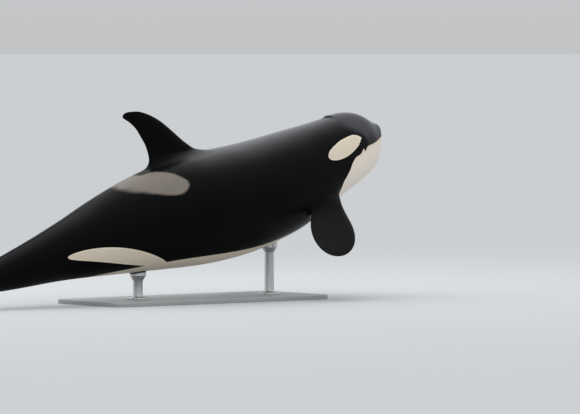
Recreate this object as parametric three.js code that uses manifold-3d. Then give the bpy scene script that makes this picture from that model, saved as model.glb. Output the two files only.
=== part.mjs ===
// A life-size still model of an orca on a plain display stand: a flat base and two short rods.
// Units are millimetres. +X runs to the snout, +Y to the animal's left and +Z up.
import * as THREE from "three";
import { mergeVertices } from "three/addons/utils/BufferGeometryUtils.js";
import Module from "manifold-3d";

const wasm = await Module();
wasm.setup();

// Driving sizes
const LENGTH = 5800; // along the spine, from the snout to the notch between the flukes
const GAP = 0.3; // left open between two pieces that meet
const SNOUT_HEIGHT = 1620; // of the snout over the floor
const FIN_SPREAD = 100; // thickness of the dorsal fin where it leaves the back
const FLIPPER_LENGTH = 860;
const FLIPPER_CHORD = 470;
const FLUKE_SPAN = 1400; // from tip to tip
const EYE_RADIUS = 27;
const BASE_SIZE = new THREE.Vector3(2700, 1100, 40);
const ROD_RADIUS = 48;

// How finely the shapes are cut into faces
const BODY_RINGS = 46;
const BODY_SIDES = 40;
const SPINE_STEPS = 1000;
const SLIVER = 0.04; // faces thinner than this are merged into their neighbours

// Places along the spine, as shares of LENGTH behind the snout
const JAW_END = 0.125;
const NECK = 0.185;
const WAIST = 0.4;
const TAIL_START = 0.62;
const STOCK_END = 0.975;
const WHITE_END = 0.7;

// Sections of the body. The first number is the root of the share of LENGTH behind the snout,
// which crowds the sections at the blunt snout. The others are shares of LENGTH: height of the
// back over the spine, half width, and depth of the belly under the spine.
const SECTIONS = [
  [0.0, 0.0077, 0.0, 0.0],
  [0.05, 0.0248, 0.009, 0.008],
  [0.1, 0.0291, 0.0142, 0.019],
  [0.15, 0.0376, 0.023, 0.0317],
  [0.2, 0.052, 0.0333, 0.044],
  [0.25, 0.0635, 0.0408, 0.0524],
  [0.3, 0.068, 0.0486, 0.0583],
  [0.35, 0.0694, 0.0579, 0.0646],
  [0.4, 0.0729, 0.0659, 0.0726],
  [0.5, 0.085, 0.083, 0.088],
  [0.6, 0.0961, 0.092, 0.095],
  [0.7, 0.0945, 0.086, 0.091],
  [0.8, 0.069, 0.0585, 0.069],
  [0.88, 0.043, 0.031, 0.043],
  [0.94, 0.0262, 0.0185, 0.0262],
  [0.97, 0.015, 0.0145, 0.015],
  [0.985, 0.0078, 0.0105, 0.0078],
  [1.0, 0.003, 0.006, 0.003],
];

// Middle of each section over the spine, and how square its upper and lower halves are
const MIDDLE = [
  [0.0, 0.0077],
  [0.1, 0.0022],
  [0.3, -0.006],
  [0.5, -0.008],
  [0.7, -0.004],
  [1.0, 0.0],
];
const SQUARENESS = [
  [0.0, 2.19, 2.2],
  [0.1, 2.22, 2.4],
  [0.2, 2.18, 2.7],
  [0.3, 2.2, 2.65],
  [0.6, 2.05, 2.2],
  [0.8, 1.75, 1.8],
  [0.95, 1.5, 1.5],
  [1.0, 1.6, 1.6],
];

// Nose-up pitch of the spine in degrees at each share of LENGTH behind the snout
const PITCH = [
  [0.0, 14.0],
  [0.12, 17.5],
  [0.25, 20.0],
  [0.4, 10.5],
  [0.55, 11.5],
  [0.75, 16.0],
  [0.9, 13.0],
  [1.05, 5.0],
];

// How far the blunt snout stands back from the start of the spine, and over what share of
// LENGTH this fades
const NOSE_BACK = 0.0039;
const NOSE_FADE = 0.06;

// The forehead leans forward of it and the lower jaw lies behind it: by how much, over what share
// this fades, and between which heights over the spine it comes in
const BROW = { forward: 0.0018, fade: 0.014, low: 0.005, high: 0.014 };
const JAW = { back: 0.0022, fade: 0.02, low: 0.002, high: 0.0056 };

// Height over the spine of the line under which the animal is white: first the mouth as far as
// its corner, then the edge of the white chin, throat and belly
const MOUTH_LINE = [
  [-0.004, 0.0045],
  [0.0, 0.0046],
  [0.006, 0.0046],
  [0.0125, 0.0044],
  [0.0235, 0.0039],
  [0.0355, 0.0038],
  [0.0535, 0.0037],
  [0.0625, 0.0038],
  [0.0685, 0.003],
  [0.0722, 0.001],
  [0.0753, -0.0017],
  [0.0779, -0.004],
];
const CHIN_EDGE = [
  [0.0811, 0.0031],
  [0.0854, 0.001],
  [0.09, -0.0021],
  [0.0954, -0.0037],
  [0.1046, -0.0043],
  [0.1125, -0.0055],
  [0.1191, -0.0089],
  [0.1248, -0.0123],
  [0.1302, -0.0175],
  [0.138, -0.0232],
  [0.146, -0.0288],
  [0.1554, -0.0347],
  [0.16, -0.0397],
  [0.166, -0.0492],
  [0.174, -0.0587],
  [0.184, -0.0661],
  [0.195, -0.0712],
  [0.215, -0.0762],
  [0.24, -0.0795],
  [0.3, -0.081],
  [0.4, -0.0775],
  [0.5, -0.0705],
  [0.56, -0.0668],
  [0.62, -0.0625],
  [0.67, -0.0588],
  [0.75, -0.0525],
];
const MOUTH_CORNER = MOUTH_LINE.at(-1)[0];
const EDGE_START = CHIN_EDGE[0][0];

const radians = THREE.MathUtils.degToRad;
const clamp = THREE.MathUtils.clamp;

// A natural cubic spline through the knots, read from the column asked for.
function spline(knots, column = 1) {
  const x = knots.map((knot) => knot[0]);
  const y = knots.map((knot) => knot[column]);
  const last = x.length - 1;
  const bend = new Array(last + 1).fill(0);
  const work = new Array(last + 1).fill(0);
  for (let i = 1; i < last; i += 1) {
    const share = (x[i] - x[i - 1]) / (x[i + 1] - x[i - 1]);
    const pivot = share * bend[i - 1] + 2;
    const rise = (y[i + 1] - y[i]) / (x[i + 1] - x[i]);
    const before = (y[i] - y[i - 1]) / (x[i] - x[i - 1]);
    bend[i] = (share - 1) / pivot;
    work[i] = ((6 * (rise - before)) / (x[i + 1] - x[i - 1]) - share * work[i - 1]) / pivot;
  }
  for (let i = last - 1; i > 0; i -= 1) {
    bend[i] = bend[i] * bend[i + 1] + work[i];
  }
  bend[0] = 0;
  return (at) => {
    const v = clamp(at, x[0], x[last]);
    let i = 0;
    while (i < last - 1 && v > x[i + 1]) {
      i += 1;
    }
    const wide = x[i + 1] - x[i];
    const a = (x[i + 1] - v) / wide;
    const b = (v - x[i]) / wide;
    const curve = (a ** 3 - a) * bend[i] + (b ** 3 - b) * bend[i + 1];
    return a * y[i] + b * y[i + 1] + (curve * wide * wide) / 6;
  };
}

const backHeight = spline(SECTIONS, 1);
const halfWidth = spline(SECTIONS, 2);
const bellyDepth = spline(SECTIONS, 3);
const middle = spline(MIDDLE);
const upperSquareness = spline(SQUARENESS, 1);
const lowerSquareness = spline(SQUARENESS, 2);
const pitchAt = spline(PITCH);
const mouthLine = spline(MOUTH_LINE);
const chinEdge = spline(CHIN_EDGE);

// Height over the spine of the upper edge of the white underside.
function whiteLine(s) {
  if (s <= MOUTH_CORNER) {
    return mouthLine(s);
  }
  if (s >= EDGE_START) {
    return chinEdge(s);
  }
  const part = (s - MOUTH_CORNER) / (EDGE_START - MOUTH_CORNER);
  return mouthLine(MOUTH_CORNER) * (1 - part) + chinEdge(EDGE_START) * part;
}

// The spine, summed backwards from the snout at the origin.
const spine = [new THREE.Vector2(0, 0)];
for (let i = 1; i <= SPINE_STEPS; i += 1) {
  const pitch = radians(pitchAt((i - 0.5) / SPINE_STEPS));
  const step = LENGTH / SPINE_STEPS;
  const before = spine[i - 1];
  spine.push(new THREE.Vector2(before.x - Math.cos(pitch) * step, before.y - Math.sin(pitch) * step));
}

// A point y to the left of the spine and z over it, at right angles to it, at share s.
function place(s, y, z) {
  const brow = THREE.MathUtils.smoothstep(z / LENGTH, BROW.low, BROW.high);
  const jaw = 1 - THREE.MathUtils.smoothstep(z / LENGTH, JAW.low, JAW.high);
  let share = s + NOSE_BACK * Math.exp(-s / NOSE_FADE);
  share += JAW.back * jaw * Math.exp(-s / JAW.fade) - BROW.forward * brow * Math.exp(-s / BROW.fade);
  const i = clamp(Math.floor(share * SPINE_STEPS), 0, SPINE_STEPS - 1);
  const part = share * SPINE_STEPS - i;
  const x = spine[i].x + (spine[i + 1].x - spine[i].x) * part;
  const height = spine[i].y + (spine[i + 1].y - spine[i].y) * part;
  const pitch = radians(pitchAt(share));
  return new THREE.Vector3(x - Math.sin(pitch) * z, y, height + Math.cos(pitch) * z);
}

// Forward, left and up at share s of the spine.
function axesAt(s) {
  const pitch = radians(pitchAt(s));
  return {
    forward: new THREE.Vector3(Math.cos(pitch), 0, Math.sin(pitch)),
    left: new THREE.Vector3(0, 1, 0),
    up: new THREE.Vector3(-Math.sin(pitch), 0, Math.cos(pitch)),
  };
}

// Where a section's outline is at an angle from the back, positive to the left: y and z in mm.
function outlineAt(s, angle, lift = 0) {
  const u = Math.sqrt(Math.max(s, 0));
  const centre = middle(u);
  const upper = Math.cos(angle) >= 0;
  const high = Math.max(upper ? backHeight(u) - centre : bellyDepth(u) + centre, 1e-5);
  const wide = Math.max(halfWidth(u), 1e-5);
  const power = upper ? upperSquareness(u) : lowerSquareness(u);
  const across = (Math.abs(Math.sin(angle)) / wide) ** power;
  const along = (Math.abs(Math.cos(angle)) / high) ** power;
  const reach = (across + along) ** (-1 / power) * LENGTH + lift;
  return new THREE.Vector2(reach * Math.sin(angle), centre * LENGTH + reach * Math.cos(angle));
}

// A point of the skin, lifted clear of it or sunk into it by some millimetres.
function skin(s, angle, lift = 0) {
  const at = outlineAt(s, angle, lift);
  return place(s, at.x, at.y);
}

// The angle at which the skin is at a given height over the spine, on the left side.
function angleAtHeight(s, height) {
  let low = 0;
  let high = Math.PI;
  for (let i = 0; i < 40; i += 1) {
    const half = (low + high) / 2;
    if (outlineAt(s, half).y > height) {
      low = half;
    } else {
      high = half;
    }
  }
  return (low + high) / 2;
}

// A closed skin over rings of points, each end closed by a fan. The faces of the two halves of
// a ring are split the opposite way, so that left and right match.
function loft(rings) {
  const sides = rings[0].length;
  const points = rings.flat();
  const faces = [];
  for (let i = 0; i < rings.length - 1; i += 1) {
    for (let j = 0; j < sides; j += 1) {
      const next = (j + 1) % sides;
      const a = i * sides + j;
      const b = i * sides + next;
      const c = (i + 1) * sides + next;
      const d = (i + 1) * sides + j;
      if (j < sides / 2) {
        faces.push(a, b, c, a, c, d);
      } else {
        faces.push(a, b, d, b, c, d);
      }
    }
  }
  for (const end of [0, rings.length - 1]) {
    const centre = new THREE.Vector3();
    rings[end].forEach((point) => centre.addScaledVector(point, 1 / sides));
    points.push(centre);
    for (let j = 0; j < sides; j += 1) {
      const a = end * sides + j;
      const b = end * sides + ((j + 1) % sides);
      faces.push(...(end === 0 ? [b, a, points.length - 1] : [a, b, points.length - 1]));
    }
  }
  return meshGeometry(points, faces);
}

// A geometry from points and faces, turned to face outwards.
function meshGeometry(points, faces) {
  let volume = 0;
  for (let i = 0; i < faces.length; i += 3) {
    const [a, b, c] = [points[faces[i]], points[faces[i + 1]], points[faces[i + 2]]];
    volume += a.dot(new THREE.Vector3().crossVectors(b, c));
  }
  const index = volume < 0 ? faces.slice().reverse() : faces;
  return new THREE.BufferGeometry().setFromPoints(points).setIndex(index);
}

// A solid to join and cut, from a closed geometry.
function solid(geometry) {
  const bare = geometry.clone();
  bare.deleteAttribute("normal");
  bare.deleteAttribute("uv");
  const merged = mergeVertices(bare, 1e-3);
  const shell = new wasm.Mesh({
    numProp: 3,
    vertProperties: new Float32Array(merged.attributes.position.array),
    triVerts: new Uint32Array(merged.index.array),
  });
  return new wasm.Manifold(shell);
}

// The body from the snout to the end of the tail stock, lifted all over by some millimetres.
function wholeBody(lift) {
  const rings = [];
  for (let i = 1; i <= BODY_RINGS; i += 1) {
    const s = STOCK_END * (i / BODY_RINGS) ** 2;
    const ring = [];
    for (let j = 0; j < BODY_SIDES; j += 1) {
      ring.push(skin(s, (j / BODY_SIDES) * 2 * Math.PI, lift));
    }
    rings.push(ring);
  }
  return solid(loft(rings));
}

// Shares at which every block bends, close together on the head, so that two blocks that meet
// keep their gap
const BENDS = [MOUTH_CORNER, EDGE_START];
for (let s = 0; s < 1; s += s < 0.1795 ? 0.005 : 0.02) {
  BENDS.push(s);
}
BENDS.sort((a, b) => a - b);

// A block along the spine from one share to another, between two heights over the spine.
function block(from, to, low, high) {
  const reach = 1000; // sideways, well clear of the body
  const near = 0.0004; // a bend closer than this to an end is left out
  const shares = [from, ...BENDS.filter((s) => s > from + near && s < to - near), to];
  const rings = [];
  for (const s of shares) {
    rings.push([
      place(s, reach, high(s)),
      place(s, -reach, high(s)),
      place(s, -reach, low(s)),
      place(s, reach, low(s)),
    ]);
  }
  return solid(loft(rings));
}

const farBelow = () => -1000;
const farAbove = () => 1000;
const whiteTop = (s) => whiteLine(s) * LENGTH;

// Where the black starts: higher over the white on a steep stretch, so that the gap stays open.
function blackFoot(s) {
  const run = 0.0002;
  const rise = Math.max(
    Math.abs(whiteTop(s + run) - whiteTop(s)),
    Math.abs(whiteTop(s) - whiteTop(s - run)),
  );
  return whiteTop(s) + GAP * Math.hypot(1, rise / (run * LENGTH));
}
const gapShare = GAP / LENGTH;

// A plug that reaches through the skin under a patch. The outline goes once round the patch's
// middle in shares and degrees; grow widens and deepens the plug for its socket.
function plug({ centre, outline, depth, rings }, side, grow) {
  const clear = 60; // how far the plug stands out of the skin
  const girth = 400; // roughly the radius of the body
  const steps = outline.length;
  const flat = outline.map(([s, angle]) => new THREE.Vector2(s * LENGTH, radians(angle) * girth));
  const turned = THREE.ShapeUtils.isClockWise(flat) ? -1 : 1;
  const edge = flat.map((point, k) => {
    const along = flat[(k + 1) % steps].clone().sub(flat[(k + steps - 1) % steps]).normalize();
    const out = new THREE.Vector2(along.y, -along.x).multiplyScalar(turned * grow);
    return [(point.x + out.x) / LENGTH, (point.y + out.y) / girth];
  });
  const layers = [];
  const points = [];
  const faces = [];
  for (const lift of [clear, -depth - grow]) {
    layers.push(points.length);
    points.push(skin(centre[0], side * centre[1], lift));
    for (let r = 1; r <= rings; r += 1) {
      for (const [s, angle] of edge) {
        const share = centre[0] + ((s - centre[0]) * r) / rings;
        const round = centre[1] + ((angle - centre[1]) * r) / rings;
        points.push(skin(share, side * round, lift));
      }
    }
  }
  const at = (layer, r, k) => (r === 0 ? layer : layer + 1 + (r - 1) * steps + (k % steps));
  for (let k = 0; k < steps; k += 1) {
    for (const [n, layer] of layers.entries()) {
      for (let r = 0; r < rings; r += 1) {
        const near = at(layer, r, k);
        const far = at(layer, r + 1, k);
        const farNext = at(layer, r + 1, k + 1);
        const nearNext = at(layer, r, k + 1);
        faces.push(...(n === 0 ? [near, far, farNext] : [near, farNext, far]));
        if (r > 0) {
          faces.push(...(n === 0 ? [near, farNext, nearNext] : [near, nearNext, farNext]));
        }
      }
    }
    const [outer, inner] = layers;
    const a = at(outer, rings, k);
    const b = at(outer, rings, k + 1);
    const c = at(inner, rings, k + 1);
    const d = at(inner, rings, k);
    faces.push(a, d, c, a, c, b);
  }
  return solid(meshGeometry(points, faces));
}

// The oval patch behind the eye: its middle line drops towards the rear.
const EYE_PATCH = {
  centre: [0.127, radians(63)],
  depth: 30,
  rings: 1,
  outline: [
    [0.0793, 57.5],
    [0.0863, 51.7],
    [0.097, 48.8],
    [0.1094, 49.1],
    [0.1194, 50.1],
    [0.1337, 51.6],
    [0.1443, 53.7],
    [0.1555, 56.3],
    [0.1649, 58.8],
    [0.1721, 61.8],
    [0.1769, 65.6],
    [0.1778, 69.0],
    [0.1738, 72.6],
    [0.1655, 75.5],
    [0.1569, 77.2],
    [0.1464, 78.4],
    [0.1353, 78.6],
    [0.1249, 77.8],
    [0.1139, 76.0],
    [0.1037, 73.0],
    [0.0971, 70.6],
    [0.0913, 67.3],
    [0.0871, 64.4],
    [0.0831, 60.9],
  ],
};

// The white lobe that runs up the flank behind the belly.
const FLANK_PATCH = {
  centre: [0.65, radians(122)],
  depth: 32,
  rings: 2,
  outline: Array.from({ length: 26 }, (_, k) => {
    const along = Math.cos((k / 26) * 2 * Math.PI);
    const across = Math.sin((k / 26) * 2 * Math.PI);
    const s = 0.65 + 0.098 * along - 0.016 * across;
    return [s, 122 - 29 * along - (12 + 3 * along) * across];
  }),
};

// The grey saddle behind the dorsal fin: it crosses the back and reaches forward and down on
// each side. One half is given, from the front of its middle to the rear.
const SADDLE_HALF = [
  [0.5565, 0.0],
  [0.5525, 7.0],
  [0.5368, 11.2],
  [0.5239, 17.1],
  [0.512, 24.3],
  [0.5034, 31.8],
  [0.4957, 39.9],
  [0.4938, 43.8],
  [0.4975, 49.0],
  [0.506, 53.0],
  [0.518, 54.5],
  [0.533, 52.5],
  [0.549, 47.5],
  [0.565, 40.5],
  [0.58, 32.0],
  [0.593, 23.0],
  [0.603, 13.0],
  [0.6075, 0.0],
];
const SADDLE_PATCH = {
  centre: [0.6, 0],
  depth: 34,
  rings: 3,
  outline: [
    ...SADDLE_HALF,
    ...SADDLE_HALF.slice(1, -1)
      .reverse()
      .map(([s, angle]) => [s, -angle]),
  ],
};

// A bead along a path, from rings of points about each of its places. The section gives how
// far to go outwards and sideways at each turn; a closed path joins its ends.
function bead(path, normals, section, closed) {
  const rings = path.map((point, i) => {
    const count = path.length;
    const before = path[closed ? (i + count - 1) % count : Math.max(i - 1, 0)];
    const after = path[closed ? (i + 1) % count : Math.min(i + 1, count - 1)];
    const along = new THREE.Vector3().subVectors(after, before).normalize();
    const side = new THREE.Vector3().crossVectors(along, normals[i]).normalize();
    const out = new THREE.Vector3().crossVectors(side, along).normalize();
    return section.map(([rise, shift]) =>
      point.clone().addScaledVector(out, rise).addScaledVector(side, shift),
    );
  });
  if (!closed) {
    return solid(loft(rings));
  }
  const sides = section.length;
  const faces = [];
  for (let i = 0; i < rings.length; i += 1) {
    for (let j = 0; j < sides; j += 1) {
      const a = i * sides + j;
      const b = i * sides + ((j + 1) % sides);
      const c = ((i + 1) % rings.length) * sides + ((j + 1) % sides);
      const d = ((i + 1) % rings.length) * sides + j;
      faces.push(a, b, c, a, c, d);
    }
  }
  return solid(meshGeometry(rings.flat(), faces));
}

// An oval section for a bead, moved out and aside.
function ovalSection(high, wide, rise, shift, sides = 8) {
  return Array.from({ length: sides }, (_, i) => {
    const turn = (i / sides) * 2 * Math.PI;
    return [rise + high * Math.cos(turn), shift + wide * Math.sin(turn)];
  });
}

// The way out of the body at a point of the skin.
function outward(s, angle) {
  const ahead = new THREE.Vector3().subVectors(skin(s - 0.001, angle), skin(s + 0.001, angle));
  const around = new THREE.Vector3().subVectors(skin(s, angle + 0.01), skin(s, angle - 0.01));
  return ahead.cross(around).normalize();
}

// The line of the mouth, from its left corner round the snout to the right one. It runs out
// under the skin at both corners.
function mouthPath() {
  const half = 13;
  const runOut = 14;
  const path = [];
  for (let i = -half; i <= half; i += 1) {
    const side = i < 0 ? 1 : -1;
    const share = Math.abs(i) / half;
    const s = MOUTH_CORNER * share ** 1.5;
    const height = whiteTop(s);
    const lift = -runOut * clamp((share - 0.84) / 0.16, 0, 1);
    path.push(i === 0 ? place(0, 0, height) : skin(s, side * angleAtHeight(s, height), lift));
  }
  const normals = path.map((point, i) => {
    const before = path[Math.max(i - 1, 0)];
    const after = path[Math.min(i + 1, 2 * half)];
    const along = new THREE.Vector3().subVectors(after, before);
    return new THREE.Vector3().crossVectors(axesAt(0).up, along).normalize();
  });
  return { path, normals };
}

// A closed curve that lies on the skin about a place: a is its half length along the body, b
// its half width across, and lean turns it on the skin. It can be lifted off the skin or sunk.
function ovalOnSkin({ s, angle }, a, b, { lean = 0, steps = 24, lift = 0 } = {}) {
  const radius = outlineAt(s, angle).distanceTo(new THREE.Vector2(0, middle(Math.sqrt(s)) * LENGTH));
  const path = [];
  const normals = [];
  for (let i = 0; i < steps; i += 1) {
    const turn = (i / steps) * 2 * Math.PI;
    const x = a * Math.cos(turn);
    const y = b * Math.sin(turn);
    const share = s - (x * Math.cos(lean) - y * Math.sin(lean)) / LENGTH;
    const round = angle + (x * Math.sin(lean) + y * Math.cos(lean)) / radius;
    path.push(skin(share, round, lift));
    normals.push(outward(share, round));
  }
  return { path, normals };
}

// Eyes: low on the head, just behind and above the corner of the mouth
const EYE_AT = { s: 0.0894, angle: radians(72.2) };
const EYE_DEPTH = 21.5; // of the eyeball's middle under the skin
const LID = { length: 31, height: 19, lean: radians(-14), thick: 9, wide: 13, sunk: 4.5 };

function eyeball(side, grow) {
  const ball = new THREE.SphereGeometry(EYE_RADIUS + grow, 16, 10);
  const at = skin(EYE_AT.s, side * EYE_AT.angle);
  at.addScaledVector(outward(EYE_AT.s, side * EYE_AT.angle), -EYE_DEPTH);
  ball.translate(at.x, at.y, at.z);
  return solid(ball);
}

function lids(side) {
  const centre = { s: EYE_AT.s, angle: side * EYE_AT.angle };
  const lean = side * LID.lean;
  const { path, normals } = ovalOnSkin(centre, LID.length, LID.height, { lean, steps: 18 });
  return bead(path, normals, ovalSection(LID.thick, LID.wide, -LID.sunk, 0, 6), true);
}

// Blowhole: an open slot across the top of the head, with low lips all round it
const BLOWHOLE = { s: 0.113, angle: 0, length: 28, width: 56, depth: 60 };
const BLOWHOLE_LIP = { out: 14, thick: 16, wide: 26, sunk: 7 };

function blowholeLips() {
  const length = BLOWHOLE.length + BLOWHOLE_LIP.out;
  const width = BLOWHOLE.width + BLOWHOLE_LIP.out;
  const { thick, wide, sunk } = BLOWHOLE_LIP;
  const { path, normals } = ovalOnSkin(BLOWHOLE, length, width);
  return bead(path, normals, ovalSection(thick, wide, -sunk, 0, 8), true);
}

function blowholeSlot() {
  const mouthLift = 4;
  const narrowing = 150;
  const rings = [40, mouthLift, -20, -BLOWHOLE.depth].map((lift) => {
    const share = clamp(1 + (lift - mouthLift) / narrowing, 0.5, 1.15);
    return ovalOnSkin(BLOWHOLE, BLOWHOLE.length * share, BLOWHOLE.width * share, { lift }).path;
  });
  return solid(loft(rings));
}

// Half thickness of a fin's section at a share of its chord: rounded in front, thin behind.
function halfThickness(share, thickness, edge) {
  const swell = 2.598 * Math.sqrt(share) * (1 - share);
  return (thickness / 2) * swell + (edge / 2) * Math.sqrt(share);
}

// Shares of the chord round a section, down one face and back up the other.
function chordSteps(half) {
  const steps = [];
  for (let i = 0; i < 2 * half; i += 1) {
    const turn = (i / (2 * half)) * 2 * Math.PI;
    steps.push({ share: (1 - Math.cos(turn)) / 2, face: i === 0 || i === half ? 0 : i < half ? 1 : -1 });
  }
  return steps;
}

// Dorsal fin: its front and rear edges, as shares of LENGTH behind the snout at heights over
// the spine
const FIN_FRONT = [
  [0.07, 0.372],
  [0.09, 0.3865],
  [0.1002, 0.4052],
  [0.105, 0.4213],
  [0.1132, 0.4362],
  [0.1246, 0.4504],
  [0.137, 0.464],
  [0.1506, 0.4772],
  [0.1644, 0.4899],
  [0.1757, 0.5027],
  [0.1845, 0.5158],
  [0.1898, 0.5264],
  [0.193, 0.5371],
  [0.1949, 0.5495],
];
const FIN_REAR = [
  [0.07, 0.53],
  [0.1, 0.523],
  [0.12, 0.5238],
  [0.1373, 0.5283],
  [0.147, 0.5325],
  [0.1566, 0.5365],
  [0.1649, 0.5408],
  [0.1726, 0.5466],
  [0.179, 0.5524],
  [0.184, 0.558],
  [0.1873, 0.5608],
  [0.1904, 0.5609],
  [0.193, 0.5583],
  [0.1943, 0.5545],
  [0.1949, 0.55],
];

function dorsalFin() {
  const front = spline(FIN_FRONT);
  const rear = spline(FIN_REAR);
  const foot = 0.07; // inside the back
  const tip = 0.1947;
  const thin = 12; // thickness at the tip
  const levels = 19;
  const rings = [];
  for (let i = 0; i <= levels; i += 1) {
    const rise = Math.sin((i / levels) * (Math.PI / 2));
    const z = foot + (tip - foot) * rise;
    const flare = 70 * Math.exp(-(((z - foot) / 0.021) ** 2));
    const thickness = thin + (FIN_SPREAD - thin) * (1 - rise) ** 0.75 + flare;
    rings.push(
      chordSteps(10).map(({ share, face }) => {
        const s = front(z) + (rear(z) - front(z)) * share;
        return place(s, face * halfThickness(share, thickness, 7), z * LENGTH);
      }),
    );
  }
  return solid(loft(rings));
}

// Flipper: a broad paddle, held out and down and swept back
const FLIPPER_ROOT = { s: 0.212, angle: radians(120), sunk: 190 };
const FLIPPER_SPAN = new THREE.Vector3(-0.52, 0.66, -0.54); // forward, out and up
const FLIPPER_THICKNESS = 76;
const FLIPPER_EDGE = 10; // thickness at the tip
const WIDEST = 0.55; // share of the length where the paddle is widest

function flipper(side) {
  const { forward, left, up } = axesAt(FLIPPER_ROOT.s);
  const span = new THREE.Vector3()
    .addScaledVector(forward, FLIPPER_SPAN.x)
    .addScaledVector(left, side * FLIPPER_SPAN.y)
    .addScaledVector(up, FLIPPER_SPAN.z)
    .normalize();
  const chord = forward.clone().addScaledVector(up, -0.12);
  chord.addScaledVector(span, -chord.dot(span)).normalize();
  const face = new THREE.Vector3().crossVectors(chord, span).multiplyScalar(-side);
  const root = skin(FLIPPER_ROOT.s, side * FLIPPER_ROOT.angle);
  const levels = 15;
  const rings = [];
  for (let i = -1; i <= levels; i += 1) {
    const v = Math.sin((Math.max(i, 0) / levels) * (Math.PI / 2) * 0.985);
    const past = clamp((v - WIDEST) / (1 - WIDEST), 0, 1);
    const round = Math.sqrt(1 - past * past);
    const swell = Math.sin((Math.PI / 2) * Math.min(1, v / WIDEST)) ** 2;
    const half = (0.34 + 0.16 * swell) * FLIPPER_CHORD * round;
    const centre = -0.16 * FLIPPER_CHORD * v * v;
    const flare = 40 * Math.exp(-((v / 0.13) ** 2));
    const taper = FLIPPER_EDGE + (FLIPPER_THICKNESS - FLIPPER_EDGE) * (1 - v) ** 0.7;
    const thickness = taper * (0.35 + 0.65 * round) + flare;
    const along = i < 0 ? -FLIPPER_ROOT.sunk : FLIPPER_LENGTH * v;
    const droop = -55 * v * v;
    rings.push(
      chordSteps(9).map((step) => {
        const across = centre + half * (1 - 2 * step.share);
        const thick = step.face * halfThickness(step.share, thickness, 6);
        return root
          .clone()
          .addScaledVector(span, along)
          .addScaledVector(chord, across)
          .addScaledVector(face, thick + droop);
      }),
    );
  }
  return solid(loft(rings));
}

// Fluke: its front edge sweeps back to the tip, its rear edge starts at the notch
const FLUKE_REAR = [
  [0.0, 0.9985],
  [0.05, 1.0025],
  [0.15, 1.0085],
  [0.35, 1.0115],
  [0.6, 1.0095],
  [0.8, 1.0105],
  [0.92, 1.016],
  [1.0, 1.0235],
];

const FLUKE_FRONT = { root: 0.915, sweep: 0.104 };
const FLUKE_BEND = [18, -60]; // rise and droop at the tip
const FLUKE_THICKNESS = 68;
const FLUKE_EDGE = 10; // thickness at the tip

function fluke(side) {
  const rear = spline(FLUKE_REAR);
  const levels = 15;
  const rings = [];
  for (let i = 0; i <= levels; i += 1) {
    const v = Math.sin((i / levels) * (Math.PI / 2) * 0.99);
    const front = FLUKE_FRONT.root + FLUKE_FRONT.sweep * v ** 1.45;
    const back = Math.max(rear(v), front + 0.0015);
    const flare = 46 * Math.exp(-((v / 0.16) ** 2));
    const thickness = FLUKE_EDGE + (FLUKE_THICKNESS - FLUKE_EDGE) * (1 - v) ** 0.8 + flare;
    const y = GAP / 2 + (FLUKE_SPAN / 2 - GAP / 2) * v;
    const bend = FLUKE_BEND[0] * v + FLUKE_BEND[1] * v * v;
    rings.push(
      chordSteps(9).map((step) => {
        const s = front + (back - front) * step.share;
        return place(s, side * y, bend + step.face * halfThickness(step.share, thickness, 6));
      }),
    );
  }
  return solid(loft(rings));
}

// Stand
const FLOOR = -SNOUT_HEIGHT;
const RODS = { front: 0.3, rear: 0.585 };

function standBase() {
  const [length, width, thick] = BASE_SIZE.toArray();
  const corner = 120;
  const rim = 5;
  const x = length / 2 - rim;
  const y = width / 2 - rim;
  const shape = new THREE.Shape();
  shape.moveTo(-x + corner, -y);
  shape.lineTo(x - corner, -y);
  shape.absarc(x - corner, -y + corner, corner, -Math.PI / 2, 0);
  shape.absarc(x - corner, y - corner, corner, 0, Math.PI / 2);
  shape.absarc(-x + corner, y - corner, corner, Math.PI / 2, Math.PI);
  shape.absarc(-x + corner, -y + corner, corner, Math.PI, 1.5 * Math.PI);
  const plate = new THREE.ExtrudeGeometry(shape, {
    depth: thick - 2 * rim,
    bevelThickness: rim,
    bevelSize: rim,
    bevelSegments: 1,
    curveSegments: 5,
  });
  const middleX = (place(RODS.front, 0, 0).x + place(RODS.rear, 0, 0).x) / 2;
  plate.translate(middleX, 0, FLOOR + rim);
  return solid(plate);
}

const COLLAR = { radius: 110, height: 20, chamfer: 6 };
const PAD_RADIUS = 82;

// A rod from the base up into the belly, with a collar at its foot and a pad at its head.
function rod(s, body) {
  const foot = FLOOR + BASE_SIZE.z + GAP;
  const under = skin(s, Math.PI);
  const rise = under.z - foot;
  const intoBelly = 60;
  const profile = [
    [0, 0],
    [COLLAR.radius, 0],
    [COLLAR.radius, COLLAR.height - COLLAR.chamfer],
    [COLLAR.radius - COLLAR.chamfer, COLLAR.height],
    [ROD_RADIUS + 8, COLLAR.height],
    [ROD_RADIUS, COLLAR.height + 10],
    [ROD_RADIUS, rise - 90],
    [PAD_RADIUS, rise - 40],
    [PAD_RADIUS, rise + intoBelly],
    [0, rise + intoBelly],
  ].map(([x, y]) => new THREE.Vector2(x, y));
  const turned = new THREE.LatheGeometry(profile, 24);
  turned.rotateX(Math.PI / 2);
  turned.translate(under.x, 0, foot);
  return solid(turned).subtract(body);
}

// A named mesh from the largest closed body of a solid.
function node(name, shape, colour, roughness, metalness = 0) {
  const bodies = shape.asOriginal().simplify(SLIVER).decompose();
  bodies.sort((a, b) => b.volume() - a.volume());
  const mesh = bodies[0].getMesh();
  const geometry = new THREE.BufferGeometry();
  geometry.setAttribute("position", new THREE.BufferAttribute(mesh.vertProperties, 3));
  geometry.setIndex(new THREE.BufferAttribute(mesh.triVerts, 1));
  geometry.computeVertexNormals();
  const material = new THREE.MeshStandardMaterial({ color: colour, roughness, metalness });
  const made = new THREE.Mesh(geometry, material);
  made.name = name;
  return made;
}

const BLACK = 0x0d0d0f;
const WHITE = 0xe3d9c9;
const GREY = 0x877a72;

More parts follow.
